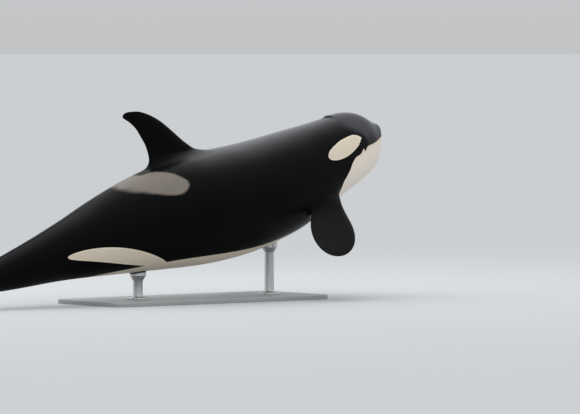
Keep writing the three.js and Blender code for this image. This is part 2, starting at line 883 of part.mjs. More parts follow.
const body = wholeBody(0);
const bodyAndGap = wholeBody(GAP);
const sides = { left: 1, right: -1 };

// The mouth: a groove between head and jaw, with a rounded lip over and under it
const mouth = mouthPath();
const LIP = { thick: 16, wide: 18, sunk: 12 };
const groove = bead(mouth.path, mouth.normals, ovalSection(13, 4.5, 0, 0, 4), false);
const [upperLip, lowerLip] = [LIP.wide, -LIP.wide].map((shift) => {
  const section = ovalSection(LIP.thick, LIP.wide, -LIP.sunk, shift, 6);
  return bead(mouth.path, mouth.normals, section, false);
});

const overWhite = block(-0.03, NECK, blackFoot, farAbove);
const underWhite = block(-0.03, JAW_END, farBelow, whiteTop);
let head = body.add(upperLip).add(lids(1)).add(lids(-1)).add(blowholeLips());
head = head.intersect(overWhite).subtract(groove).subtract(blowholeSlot());
const jaw = body.add(lowerLip).intersect(underWhite).subtract(groove);

const model = new THREE.Group();
for (const [name, side] of Object.entries(sides)) {
  const socket = eyeball(side, GAP);
  head = head.subtract(socket).subtract(plug(EYE_PATCH, side, GAP));
  const patch = body.intersect(plug(EYE_PATCH, side, 0)).subtract(socket);
  model.add(node(`eye_patch_${name}`, patch, WHITE, 0.35));
  model.add(node(`eye_${name}`, eyeball(side, 0), 0x14100e, 0.15));
}
model.add(node("head", head, BLACK, 0.3));
model.add(node("lower_jaw", jaw, WHITE, 0.35));

// Throat and belly under the white line, and the black trunk over it
const throat = body.intersect(block(JAW_END + gapShare, NECK, farBelow, whiteTop));
const belly = body.intersect(block(NECK + gapShare, WHITE_END, farBelow, whiteTop));
const underside = block(NECK - 0.01, WHITE_END + gapShare, farBelow, blackFoot);
const chest = body.intersect(block(NECK + gapShare, WAIST, farBelow, farAbove));
let torso = body.intersect(block(WAIST + gapShare, TAIL_START, farBelow, farAbove));
let stock = body.intersect(
  block(TAIL_START + gapShare, STOCK_END - gapShare, farBelow, farAbove),
);
torso = torso.subtract(underside).subtract(plug(SADDLE_PATCH, 1, GAP));
stock = stock.subtract(underside).subtract(plug(SADDLE_PATCH, 1, GAP));
for (const [name, side] of Object.entries(sides)) {
  const lobe = body.intersect(plug(FLANK_PATCH, side, 0)).subtract(underside);
  torso = torso.subtract(plug(FLANK_PATCH, side, GAP));
  stock = stock.subtract(plug(FLANK_PATCH, side, GAP));
  model.add(node(`flank_patch_${name}`, lobe, WHITE, 0.35));
}
model.add(node("throat", throat, WHITE, 0.35));
model.add(node("belly", belly, WHITE, 0.35));
model.add(node("chest", chest.subtract(underside), BLACK, 0.3));
model.add(node("torso", torso, BLACK, 0.3));
model.add(node("tail_stock", stock, BLACK, 0.3));
model.add(node("saddle_patch", body.intersect(plug(SADDLE_PATCH, 1, 0)), GREY, 0.4));

// Fins
model.add(node("dorsal_fin", dorsalFin().subtract(bodyAndGap), BLACK, 0.25));
for (const [name, side] of Object.entries(sides)) {
  model.add(node(`flipper_${name}`, flipper(side).subtract(bodyAndGap), BLACK, 0.3));
  model.add(node(`fluke_${name}`, fluke(side).subtract(bodyAndGap), BLACK, 0.3));
}

// Stand
model.add(node("stand_base", standBase(), 0x8d9093, 0.5, 0.2));
model.add(node("stand_rod_front", rod(RODS.front, bodyAndGap), 0xa7aaad, 0.35, 0.9));
model.add(node("stand_rod_rear", rod(RODS.rear, bodyAndGap), 0xa7aaad, 0.35, 0.9));

// The part's origin is under the middle of its box, on the floor
const box = new THREE.Box3().setFromObject(model);
model.position.set(-(box.min.x + box.max.x) / 2, 0, SNOUT_HEIGHT);

const part = new THREE.Group();
part.add(model);

export default part;
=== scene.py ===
import math

import bpy
import numpy as np
from mathutils import Matrix, Vector
from mathutils.geometry import delaunay_2d_cdt


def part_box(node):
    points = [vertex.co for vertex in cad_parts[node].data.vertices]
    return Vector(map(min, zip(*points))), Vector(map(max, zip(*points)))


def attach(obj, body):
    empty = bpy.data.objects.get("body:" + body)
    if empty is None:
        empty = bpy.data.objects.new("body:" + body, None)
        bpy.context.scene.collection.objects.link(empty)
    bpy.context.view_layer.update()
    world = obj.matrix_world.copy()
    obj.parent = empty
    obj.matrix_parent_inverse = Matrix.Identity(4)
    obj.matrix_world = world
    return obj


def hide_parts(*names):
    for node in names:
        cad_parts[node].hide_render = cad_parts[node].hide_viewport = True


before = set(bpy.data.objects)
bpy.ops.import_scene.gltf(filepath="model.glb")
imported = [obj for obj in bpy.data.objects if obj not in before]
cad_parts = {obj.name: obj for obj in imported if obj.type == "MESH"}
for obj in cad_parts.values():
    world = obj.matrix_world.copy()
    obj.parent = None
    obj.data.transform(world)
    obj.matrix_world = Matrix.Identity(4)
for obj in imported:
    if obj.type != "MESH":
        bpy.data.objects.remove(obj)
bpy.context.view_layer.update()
print("frame loaded")

# the animal: heights, widths and places are shares of the length behind the snout
orca = {
    "length": 5.8,
    "snoutHeight": 1.62,
    "rows": 1000,            # sections along the body
    "columns": 520,          # points round a section
    "firstRow": 0.003,       # root of the first section's place
    "lastRow": 0.885,        # where the body is handed over to the flukes
    "overFrontRod": 0.3,     # the place over the front rod of the stand
    "mouthCrowd": (3.0, 0.12),   # columns crowd along the mouth: how much, over what angle
}
bodyLength = orca["length"]

# root of the place, back over the spine, half width, belly under the spine
sections = [
    (0.0, 0.0077, 0.0, 0.0), (0.05, 0.0228, 0.0078, 0.0078), (0.1, 0.0290, 0.0150, 0.0190),
    (0.15, 0.0376, 0.0230, 0.0317), (0.2, 0.0520, 0.0333, 0.0440), (0.25, 0.0635, 0.0408, 0.0524),
    (0.3, 0.0680, 0.0486, 0.0583), (0.35, 0.0694, 0.0579, 0.0646), (0.4, 0.0729, 0.0659, 0.0726),
    (0.5, 0.085, 0.083, 0.088), (0.6, 0.0961, 0.092, 0.095), (0.7, 0.0945, 0.086, 0.091),
    (0.8, 0.069, 0.0585, 0.069), (0.88, 0.043, 0.031, 0.043), (0.94, 0.0262, 0.0185, 0.0262),
    (0.97, 0.015, 0.0145, 0.015), (0.985, 0.0078, 0.0105, 0.0078), (1.0, 0.003, 0.006, 0.003),
]
sectionMiddle = [
    (0.0, 0.0077), (0.1, 0.0022), (0.3, -0.006), (0.5, -0.008), (0.7, -0.004), (1.0, 0.0),
]
# how square the upper and the lower half of a section are
squareness = [
    (0.0, 2.19, 2.2), (0.1, 2.22, 2.4), (0.2, 2.18, 2.7), (0.3, 2.2, 2.65), (0.6, 2.05, 2.2),
    (0.8, 1.75, 1.8), (0.95, 1.5, 1.5), (1.0, 1.6, 1.6),
]
# nose-up pitch in degrees
spinePitch = [
    (0.0, 14.0), (0.12, 17.5), (0.25, 20.0), (0.4, 10.5), (0.55, 11.5), (0.75, 16.0),
    (0.9, 13.0), (1.05, 5.0),
]
# the blunt snout stands back from the spine's start, the forehead leans forward of it and the
# lower jaw lies behind it: by how much, over what share it fades, between which heights it comes in
nose = {
    "back": (0.0040, 0.06),
    "brow": (0.0024, 0.022, 0.0040, 0.0180),
    "jaw": (0.0020, 0.02, 0.0020, 0.0056),
}
# mouth line from the snout to the down-turned corner: place along, height over the spine
mouthLine = [
    (-0.004, 0.0037), (0.0, 0.0038), (0.006, 0.0038), (0.0125, 0.0036), (0.0235, 0.0031),
    (0.0355, 0.0029), (0.0535, 0.0028), (0.0625, 0.0029), (0.0685, 0.0021), (0.0722, 0.0002),
    (0.0753, -0.0024), (0.0779, -0.0046),
]
mouthEnd = mouthLine[-1][0]
# hind edge of the white chin, from behind the mouth's corner down to the belly
chinEdge = [
    (0.0797, -0.0006), (0.0811, 0.0031), (0.0827, 0.0026), (0.0854, 0.0010), (0.0900, -0.0021),
    (0.0954, -0.0037), (0.1046, -0.0043), (0.1125, -0.0055), (0.1191, -0.0089), (0.1248, -0.0123),
    (0.1302, -0.0175), (0.138, -0.0232), (0.146, -0.0288), (0.1554, -0.0347), (0.16, -0.0397),
    (0.166, -0.0492), (0.174, -0.0587), (0.184, -0.0661), (0.195, -0.0712), (0.215, -0.0762),
    (0.24, -0.0795), (0.3, -0.081), (0.4, -0.0775), (0.5, -0.0705), (0.56, -0.0668),
    (0.62, -0.0625), (0.67, -0.0588), (0.75, -0.0525),
]


def spline(knots, column=1):
    # natural cubic curve through one column of the knots, over their first column
    x = np.array([k[0] for k in knots], float)
    y = np.array([k[column] for k in knots], float)
    n = len(x)
    step = np.diff(x)
    lhs = np.zeros((n, n))
    rhs = np.zeros(n)
    lhs[0, 0] = lhs[-1, -1] = 1
    for i in range(1, n - 1):
        lhs[i, i - 1:i + 2] = step[i - 1], 2 * (step[i - 1] + step[i]), step[i]
        rhs[i] = 6 * ((y[i + 1] - y[i]) / step[i] - (y[i] - y[i - 1]) / step[i - 1])
    bend = np.linalg.solve(lhs, rhs)

    def at(v):
        v = np.clip(np.asarray(v, float), x[0], x[-1])
        i = np.clip(np.searchsorted(x, v) - 1, 0, n - 2)
        a = (x[i + 1] - v) / step[i]
        b = 1 - a
        curve = (a ** 3 - a) * bend[i] + (b ** 3 - b) * bend[i + 1]
        return a * y[i] + b * y[i + 1] + curve * step[i] ** 2 / 6
    return at


def smooth(v, low, high):
    # eases from 0 at low to 1 at high
    t = np.clip((np.asarray(v, float) - low) / (high - low), 0, 1)
    return t * t * (3 - 2 * t)


def bump(v, middle, width):
    # a smooth hump of height 1
    return np.exp(-((v - middle) / width) ** 2)


backAt, widthAt, bellyAt = (spline(sections, column) for column in (1, 2, 3))
upperPower, lowerPower = spline(squareness, 1), spline(squareness, 2)
middleAt, pitchAt, mouthAt = spline(sectionMiddle), spline(spinePitch), spline(mouthLine)

# the spine is a line of short steps, with one long step past the notch of the flukes
spineSteps, stepsPast = 1000, 50
spineShare = np.arange(spineSteps + 1) / spineSteps
stepPitch = np.radians(pitchAt(spineShare[:-1] + 0.5 / spineSteps))
spineX = np.concatenate([[0], -np.cumsum(np.cos(stepPitch))]) * bodyLength / spineSteps
spineZ = np.concatenate([[0], -np.cumsum(np.sin(stepPitch))]) * bodyLength / spineSteps
spineShare = np.append(spineShare, 1 + stepsPast / spineSteps)
spineX = np.append(spineX, spineX[-1] + stepsPast * (spineX[-1] - spineX[-2]))
spineZ = np.append(spineZ, spineZ[-1] + stepsPast * (spineZ[-1] - spineZ[-2]))

# and moved along so that its chosen place lies over the front rod
rodLow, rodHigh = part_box("stand_rod_front")
overRod = orca["overFrontRod"]
rodPitch = math.radians(float(pitchAt(overRod)))
underRod = np.interp(overRod, spineShare, spineX)
underRod += math.sin(rodPitch) * float(bellyAt(math.sqrt(overRod))) * bodyLength
originX = (rodLow.x + rodHigh.x) / 2 - underRod
spineX = spineX + originX
spineZ = spineZ + orca["snoutHeight"]


def noseShift(s, height):
    amount, fade = nose["back"]
    shift = amount * np.exp(-s / fade)
    amount, fade, low, high = nose["brow"]
    shift = shift - amount * smooth(height, low, high) * np.exp(-s / fade)
    amount, fade, low, high = nose["jaw"]
    return shift + amount * (1 - smooth(height, low, high)) * np.exp(-s / fade)


def place(s, y, z):
    # a point from its share, and its metres to the left of and over the spine
    s = np.asarray(s, float)
    along = s + noseShift(s, np.asarray(z, float) / bodyLength)
    pitch = np.radians(pitchAt(along))
    x = np.interp(along, spineShare, spineX) - np.sin(pitch) * z
    height = np.interp(along, spineShare, spineZ) + np.cos(pitch) * z
    return np.stack(np.broadcast_arrays(x, y, height), -1)


def toSpine(p):
    # the reverse: share, left and up of points near the body
    along = np.interp(-p[..., 0], -spineX, spineShare)
    for _ in range(6):
        pitch = np.radians(pitchAt(along))
        dx = p[..., 0] - np.interp(along, spineShare, spineX)
        dz = p[..., 2] - np.interp(along, spineShare, spineZ)
        along = np.clip(along - (dx * np.cos(pitch) + dz * np.sin(pitch)) / bodyLength, 0, spineShare[-1])
    z = -dx * np.sin(pitch) + dz * np.cos(pitch)
    s = along
    for _ in range(4):
        s = along - noseShift(s, z / bodyLength)
    return s, p[..., 1], z


def reachAt(s, angle):
    # metres from the middle of a section to its rim
    u = np.sqrt(np.maximum(s, 0))
    centre = middleAt(u)
    upper = np.cos(angle) >= 0
    intoFlukes = 1 - 0.86 * smooth(s, 0.93, 0.99)   # the tail stock flattens into the flukes
    high = np.maximum(np.where(upper, backAt(u) - centre, bellyAt(u) + centre), 1e-5) * intoFlukes
    wide = np.maximum(widthAt(u), 1e-5)
    power = np.where(upper, upperPower(u), lowerPower(u))
    across = (np.abs(np.sin(angle)) / wide) ** power
    along = (np.abs(np.cos(angle)) / high) ** power
    return (across + along) ** (-1 / power) * bodyLength


def bareSkin(s, angle):
    # the body's plain form; angles run from the top of the back round to the left
    s, angle = np.broadcast_arrays(np.asarray(s, float), np.asarray(angle, float))
    reach = reachAt(s, angle)
    centre = middleAt(np.sqrt(np.maximum(s, 0))) * bodyLength
    return place(s, reach * np.sin(angle), centre + reach * np.cos(angle))


def skinNormal(s, angle):
    ds, turn = 0.0006, 0.006         # how far off the points lie that it is worked out from
    ahead = bareSkin(np.maximum(s - ds, 0.00002), angle) - bareSkin(s + ds, angle)
    around = bareSkin(s, angle + turn) - bareSkin(s, angle - turn)
    normal = np.cross(ahead, around)
    normal = normal / np.maximum(np.linalg.norm(normal, axis=-1, keepdims=True), 1e-12)
    # straight ahead at the very tip of the snout
    pitch = math.radians(spinePitch[0][1])
    share = smooth(s, 0.0, 0.004)[..., None]
    normal = normal * share + np.array([math.cos(pitch), 0, math.sin(pitch)]) * (1 - share)
    return normal / np.linalg.norm(normal, axis=-1, keepdims=True)


def heightAt(s, angle):
    # over the spine, as a share of the length
    return middleAt(np.sqrt(np.maximum(s, 0))) + reachAt(s, angle) * np.cos(angle) / bodyLength


def angleAtHeight(s, height):
    # the reverse, by halving
    low = np.zeros_like(s)
    high = np.full_like(s, math.pi)
    for _ in range(30):
        half = (low + high) / 2
        over = heightAt(s, half) > height
        low = np.where(over, half, low)
        high = np.where(over, high, half)
    return (low + high) / 2


# axes and phases of the slow unevenness of the skin
rng = np.random.default_rng(11)
humps = 14
humpAxes = rng.normal(size=(humps, 3))
humpAxes /= np.linalg.norm(humpAxes, axis=1, keepdims=True)
humpPhases = rng.uniform(0, 2 * math.pi, humps)


def slowUneven(p, size):
    # from about -1 to 1, its humps about this far apart
    total = np.zeros(p.shape[:-1])
    for i, (axis, phase) in enumerate(zip(humpAxes, humpPhases)):
        pace = 2 * math.pi / (size * (0.7 + 0.08 * i))
        total += np.sin(p @ axis * pace + phase)
    return total / 5


def pathDistance(x, y, path, stretch=1.0, furthest=1e4):
    # how far points lie from a line, where y counts stretch times
    best = np.full(x.shape, furthest * furthest)
    for (ax, ay), (bx, by) in zip(path[:-1], path[1:]):
        ex, ey = bx - ax, (by - ay) * stretch
        px, py = x - ax, (y - ay) * stretch
        t = np.clip((px * ex + py * ey) / (ex * ex + ey * ey + 1e-18), 0, 1)
        best = np.minimum(best, (px - t * ex) ** 2 + (py - t * ey) ** 2)
    return np.sqrt(best)


def insideOutline(x, y, outline):
    # by how often a line to the right of each point crosses the outline
    ox, oy = outline[:, 0], outline[:, 1]
    px, py = np.roll(ox, -1), np.roll(oy, -1)
    inside = np.zeros(len(x), bool)
    for i in range(len(ox)):
        cross = (oy[i] > y) != (py[i] > y)
        inside ^= cross & (x < (px[i] - ox[i]) * (y - oy[i]) / (py[i] - oy[i] + 1e-30) + ox[i])
    return inside


def outlineDistance(x, y, outline, stretch=1.0, furthest=1e4):
    # how far points lie inside a closed outline, negative outside
    distance = pathDistance(x, y, np.concatenate([outline, outline[:1]]), stretch, furthest)
    return distance * np.where(insideOutline(x, y, outline), 1, -1)


# forms on the skin: heights, depths and widths in metres
relief = {
    "headEnd": 0.13,                                  # a place, as a share of the length
    "grooveDepth": 0.009, "grooveWidth": 0.0040,      # mouth line
    "lipHeight": 0.0032, "lipWidth": 0.008, "lipOffset": 0.0125, "lowerLip": 0.8,
    "beakDepth": 0.0052, "beakRim": 0.2,              # hollow between melon and snout
    "beakWidth": 0.0105,                              # as a share of the length
    "eyeSwell": (0.006, 0.075), "eyeRadius": 0.27,    # height and width, the head's radius there
    "cornerFold": (0.004, 0.007), "foldSlope": 0.32,  # behind the corner of the mouth
    "melonStep": (0.010, 0.10), "topRadius": 0.36,    # in front of the blowhole
    "unevenness": (0.0022, 0.55),                     # height, and length of a hump
}
eyePlace = {"s": 0.0894, "angle": math.radians(72.2), "radius": 0.027, "depth": 0.0215}
blowhole = {"s": 0.1105, "angle": 0.0}
# the hollow runs from the forehead down to the mouth: degrees from the back, place along
beakLine = spline([
    (0, 0.0190), (19, 0.0215), (38, 0.0395), (47, 0.0495), (58, 0.0570), (67, 0.0607), (90, 0.066)])
fineMouth = np.array([(v, float(mouthAt(v))) for v in np.linspace(mouthLine[0][0], mouthEnd, 90)])


def reliefAt(s, angle):
    angle = np.abs(angle)
    z = heightAt(s, angle)
    d = np.zeros(z.shape)
    head = s < relief["headEnd"]
    hs, hz, ha = s[head], z[head], angle[head]
    # lips and groove of the mouth
    near = pathDistance(hs * bodyLength, hz * bodyLength, fineMouth * bodyLength)
    overMouth = near * np.where(hz > mouthAt(hs), 1.0, -1.0)
    inMouth = 1 - smooth(hs, 0.0730, 0.0784)
    lips = bump(overMouth, relief["lipOffset"], relief["lipWidth"])
    lips = lips + relief["lowerLip"] * bump(overMouth, -relief["lipOffset"], relief["lipWidth"])
    h = inMouth * smooth(hs, 0.0, 0.03) * relief["lipHeight"] * lips
    groove = bump(near, 0, relief["grooveWidth"]) * (0.45 + 0.55 * inMouth)
    groove = groove * (0.3 + 0.7 * smooth(hs, 0.0, 0.012))
    h = h - relief["grooveDepth"] * groove
    # hollow across the face between the melon and the snout, running down to the mouth
    across = hs - beakLine(np.degrees(ha))
    onFace = smooth((hz - mouthAt(hs)) * bodyLength, 0.006, 0.05)
    onFace = onFace * (0.15 + 0.85 * smooth(ha, 0.25, 0.75))
    h = h - relief["beakDepth"] * bump(across, 0, relief["beakWidth"]) * onFace
    h = h + relief["beakRim"] * relief["beakDepth"] * bump(across, 0.021, 0.013) * onFace
    # swelling round the eye, and the fold behind the corner of the mouth
    height, width = relief["eyeSwell"]
    away = (hs - eyePlace["s"]) * bodyLength, (ha - eyePlace["angle"]) * relief["eyeRadius"]
    h = h + height * bump(np.hypot(*away), 0, width)
    height, width = relief["cornerFold"]
    behind = (hs - mouthEnd) * bodyLength
    fold = (hz - (-0.0042 - relief["foldSlope"] * (hs - mouthEnd))) * bodyLength
    fold = bump(fold, 0, width) * smooth(behind, -0.01, 0.006) * (1 - smooth(behind, 0.03, 0.12))
    h = h - height * fold
    # step up to the melon in front of the blowhole
    height, width = relief["melonStep"]
    ahead = (blowhole["s"] - hs) * bodyLength
    step = smooth(ahead, 0.0, 0.05) * (1 - smooth(ahead, 0.09, 0.3))
    h = h + height * step * bump(ha * relief["topRadius"], 0, width)
    d[head] = h
    return d


def unevenAt(s, p):
    height, size = relief["unevenness"]
    return height * slowUneven(p, size) * smooth(s, 0.02, 0.12) * (1 - smooth(s, 0.74, 0.86))


def skin(s, angle):
    # the body with its finer forms
    p = bareSkin(s, angle)
    return p + skinNormal(s, angle) * (reliefAt(s, angle) + unevenAt(s, p))[..., None]


def skinDistance(p):
    # share, angle and height of points over the body
    s, y, z = toSpine(p)
    centre = middleAt(np.sqrt(s)) * bodyLength
    angle = np.arctan2(y, z - centre)
    return s, angle, np.hypot(y, z - centre) - reachAt(s, angle)


# one mesh for all the flesh
meshPoints = []
meshFaces = []
meshCount = 0
bodyMarks = []       # share and angle on the body, or none
limbMarks = []       # kind of limb, place out along it, place across it
limbKinds = ("body", "fin", "flipper", "fluke", "blowhole")
notOnBody = 2.0      # stands for share and angle of a point that has none


def addPoints(points, s=None, angle=None, kind="body", out=0.0, across=0.0):
    # gives the points' numbers in the mesh
    global meshCount
    shape = points.shape[:-1]
    meshPoints.append(points.reshape(-1, 3))
    values = [notOnBody if v is None else v for v in (s, angle)] + [limbKinds.index(kind), out, across]
    flat = [np.broadcast_to(np.asarray(v, float), shape).reshape(-1) for v in values]
    bodyMarks.append(np.stack(flat[:2], -1))
    limbMarks.append(np.stack(flat[2:], -1))
    first = meshCount
    meshCount += len(meshPoints[-1])
    return np.arange(first, meshCount).reshape(shape)


def quadsRound(index):
    # quads over a grid of point numbers that closes on itself sideways
    index = np.concatenate([index, index[:, :1]], 1)
    return np.stack([index[:-1, :-1], index[:-1, 1:], index[1:, 1:], index[1:, :-1]], -1)


def bandFaces(index):
    meshFaces.append(quadsRound(index).reshape(-1, 4))


def closeToPoint(ring, points, **marks):
    # closes a ring with a fan to the middle of some points
    centre = addPoints(points.mean(0)[None], out=1.0, **marks)[0]
    meshFaces.append(np.stack([ring, np.roll(ring, -1), np.full_like(ring, centre)], -1))


def closeAcross(ring):
    # closes a ring that is even about the middle plane with strips from side to side
    half = len(ring) // 2
    right, left = ring[half:], ring[half:0:-1]
    meshFaces.append(np.stack([right[1:-1], right[2:], left[2:], left[1:-1]], -1))
    meshFaces.append(np.array([[right[0], right[1], left[1]], [right[-1], ring[0], left[-1]]]))


def stitch(index, planeX, planeY, holeIndex, holeX, holeY, clear):
    # fills a window of a grid, index, up to a loop of other points
    rows, cols = index.shape
    rim = [(0, j) for j in range(cols - 1)] + [(i, cols - 1) for i in range(rows - 1)]
    rim += [(rows - 1, j) for j in range(cols - 1, 0, -1)] + [(i, 0) for i in range(rows - 1, 0, -1)]
    rimRows, rimCols = np.array(rim).T
    hole = np.stack([holeX, holeY], -1)
    innerX, innerY, innerIndex = (grid[1:-1, 1:-1].ravel() for grid in (planeX, planeY, index))
    keep = outlineDistance(innerX, innerY, hole) < -clear
    x = np.concatenate([planeX[rimRows, rimCols], innerX[keep], holeX])
    y = np.concatenate([planeY[rimRows, rimCols], innerY[keep], holeY])
    number = np.concatenate([index[rimRows, rimCols], innerIndex[keep], holeIndex])
    nRim, nHole, n = len(rim), len(holeX), len(x)
    edges = [(i, (i + 1) % nRim) for i in range(nRim)]
    edges += [(n - nHole + i, n - nHole + (i + 1) % nHole) for i in range(nHole)]
    made = delaunay_2d_cdt([Vector((a, b)) for a, b in zip(x, y)], edges, [], 0, 1e-7)
    co = np.array([tuple(v) for v in made[0]])
    source = np.array([o[0] if o else -1 for o in made[3]])
    tris = np.array([f for f in made[2] if len(f) == 3])
    middle = co[tris].mean(1)
    good = insideOutline(middle[:, 0], middle[:, 1], np.stack([x[:nRim], y[:nRim]], -1))
    good &= ~insideOutline(middle[:, 0], middle[:, 1], hole)
    good &= (source[tris] >= 0).all(1)
    meshFaces.append(number[source[tris[good]]])


def evenSmooth(values, rounds):
    for _ in range(rounds):
        values = 0.5 * values + 0.25 * (np.roll(values, 1) + np.roll(values, -1))
    return values


def reachRound(t, sides, front, rear):
    # how wide a fillet is along the sides of a limb, at its front edge and at its rear edge
    ahead = (0.5 + 0.5 * np.cos(2 * math.pi * t)) ** 4
    behind = (0.5 - 0.5 * np.cos(2 * math.pi * t)) ** 3
    return sides + (front - sides) * ahead + (rear - sides) * behind


filletSteps, searchSteps, climbSteps = 14, 400, 240


def raiseLimb(name, limbPoint, spec, hostInverse, hostPoint, scale):
    # rings of the fillet between a host and a limb, whose points limbPoint(q, t) run from inside
    # the host at q = 0 out to the tip at q = 1, and once round it with t
    steps, soften = spec["steps"], spec["soften"]
    t = np.arange(steps) / steps
    # where the limb leaves its host
    q = np.linspace(0, 1, searchSteps)[:, None]
    distance = hostInverse(limbPoint(q, t[None, :]))[2]
    last = len(q) - 1 - np.argmax((distance < 0)[::-1], axis=0)
    last = np.minimum(last, len(q) - 2)
    cols = np.arange(steps)
    d0, d1 = distance[last, cols], distance[last + 1, cols]
    q0 = q[last, 0] + (q[1, 0] - q[0, 0]) * d0 / (d0 - d1)
    a0, b0, _ = hostInverse(limbPoint(q0, t))
    # the fillet's outer edge on the host
    x, y = evenSmooth(a0 * scale[0], soften), evenSmooth(b0 * scale[1], soften)
    dx, dy = np.roll(x, -1) - np.roll(x, 1), np.roll(y, -1) - np.roll(y, 1)
    size = np.maximum(np.hypot(dx, dy), 1e-9)
    turn = 1 if np.sum(x * np.roll(y, -1) - np.roll(x, -1) * y) > 0 else -1
    reach = reachRound(t, *spec["skirt"])
    outerA = evenSmooth(x + turn * dy / size * reach, soften) / scale[0]
    outerB = evenSmooth(y - turn * dx / size * reach, soften) / scale[1]
    # its inner edge, up along the limb
    up = np.linspace(0, 1, climbSteps)[:, None]
    line = limbPoint(q0[None, :] + (1 - q0[None, :]) * up, t[None, :])
    run = np.cumsum(np.linalg.norm(np.diff(line, axis=0), axis=-1), 0)
    run = np.concatenate([np.zeros((1, steps)), run])
    height = reachRound(t, *spec["rise"])
    share = np.array([np.interp(height[k], run[:, k], up[:, 0]) for k in range(steps)])
    q1 = q0 + (1 - q0) * evenSmooth(share, soften)
    rings, ringA, ringB = [], [], []
    for tau in np.arange(filletSteps + 1) / filletSteps:
        mix = tau * tau * (3 - 2 * tau)
        a, b = outerA + (a0 - outerA) * tau, outerB + (b0 - outerB) * tau
        rings.append(hostPoint(a, b) * (1 - mix) + limbPoint(q0 + (q1 - q0) * tau, t) * mix)
        ringA.append(a)
        ringB.append(b)
    print(name, "joins from", np.round(outerA.min(), 4), "to", np.round(outerA.max(), 4))
    return t, q1, np.array(rings), np.array(ringA), np.array(ringB)


def chordAt(t):
    # place across the chord and side, once round a section from its front edge
    turn = 2 * math.pi * t
    return (1 - np.cos(turn)) / 2, np.sign(np.sin(turn))


def halfThick(share, thickness, edge, fullness=0.0):
    # half thickness across a fin; fullness turns its sharp hind edge into a round one, and
    # 2.598 makes the swell 1 at its thickest
    swell = 2.598 * np.sqrt(share) * (1 - share)
    swell = swell + fullness * (1.9 * np.sqrt(np.maximum(share * (1 - share), 0)) - swell)
    rim = np.sqrt(share) * np.sqrt(np.maximum(1 - share ** 14, 0))
    return thickness / 2 * swell + edge / 2 * rim


# dorsal fin: edges as heights over the spine and places along the body
finFront = [
    (0.07, 0.372), (0.09, 0.3865), (0.1002, 0.4044), (0.105, 0.4196), (0.1132, 0.4342),
    (0.1246, 0.4476), (0.137, 0.4600), (0.1506, 0.4732), (0.1644, 0.4872), (0.1757, 0.5012),
    (0.1845, 0.5150), (0.1898, 0.5257), (0.193, 0.5367), (0.1949, 0.5495),
]
finRear = [
    (0.07, 0.530), (0.1, 0.5230), (0.12, 0.5238), (0.1373, 0.5283), (0.147, 0.5325),
    (0.1566, 0.5365), (0.1649, 0.5408), (0.1726, 0.5466), (0.179, 0.5524), (0.184, 0.5580),
    (0.1873, 0.5608), (0.1904, 0.5609), (0.193, 0.5583), (0.1943, 0.5545), (0.1949, 0.5500),
]
fin = {
    "foot": 0.07, "tip": 0.1948, "shrink": 0.9992,
    "thickness": 0.100, "tipThickness": 0.014, "edge": 0.007,
    "thinning": 0.75,              # less keeps it thick for longer
    "flare": (0.070, 0.021),       # extra thickness at the foot, and over what height
    "fullness": (0.8, 0.12, 0.5),  # of the hind edge, and between which levels it fades
    "hostRadius": 0.55,
    "steps": 240, "rings": 130, "soften": 10,
    "skirt": (0.10, 0.16, 0.10), "rise": (0.11, 0.14, 0.11),   # fillet: sides, front, rear
}
finFrontAt, finRearAt = spline(finFront), spline(finRear)


def finPoint(q, t):
    q, t = np.broadcast_arrays(q, t)
    level = np.sin(q * math.pi / 2)
    z = fin["foot"] + (fin["tip"] - fin["foot"]) * level
    share, side = chordAt(t)
    thickness = (fin["thickness"] - fin["tipThickness"]) * (1 - level) ** fin["thinning"]
    thickness = fin["tipThickness"] + thickness
    thickness = thickness * np.sqrt(np.maximum(1 - level ** 60, 0))
    thickness = thickness + fin["flare"][0] * bump(z, fin["foot"], fin["flare"][1])
    amount, low, high = fin["fullness"]
    fullness = amount * (1 - smooth(level, low, high))
    front, rear = finFrontAt(z), finRearAt(z)
    y = side * halfThick(share, thickness, fin["edge"], fullness)
    return place(front + (rear - front) * share, y, z * bodyLength * fin["shrink"])


flipper = {
    "s": 0.212, "angle": math.radians(120), "hostRadius": 0.45,
    "sunk": 0.19, "skinAt": 0.15,            # how deep its root is sunk, and q at the skin
    "length": 0.858, "chord": 0.47, "widest": 0.55,
    "rootHalf": 0.34, "swell": 0.16,         # half widths, in chords
    "sweep": 0.16, "bend": 0.055,            # of the tip: backwards in chords, inwards
    "thickness": 0.076, "tipThickness": 0.010, "edge": 0.006, "flare": (0.040, 0.13),
    "span": (-0.52, 0.66, -0.54),            # forward, outwards, up
    "lean": 0.12,
    "steps": 200, "rings": 110, "soften": 14,
    "skirt": (0.075, 0.085, 0.15), "rise": (0.085, 0.10, 0.17),
}


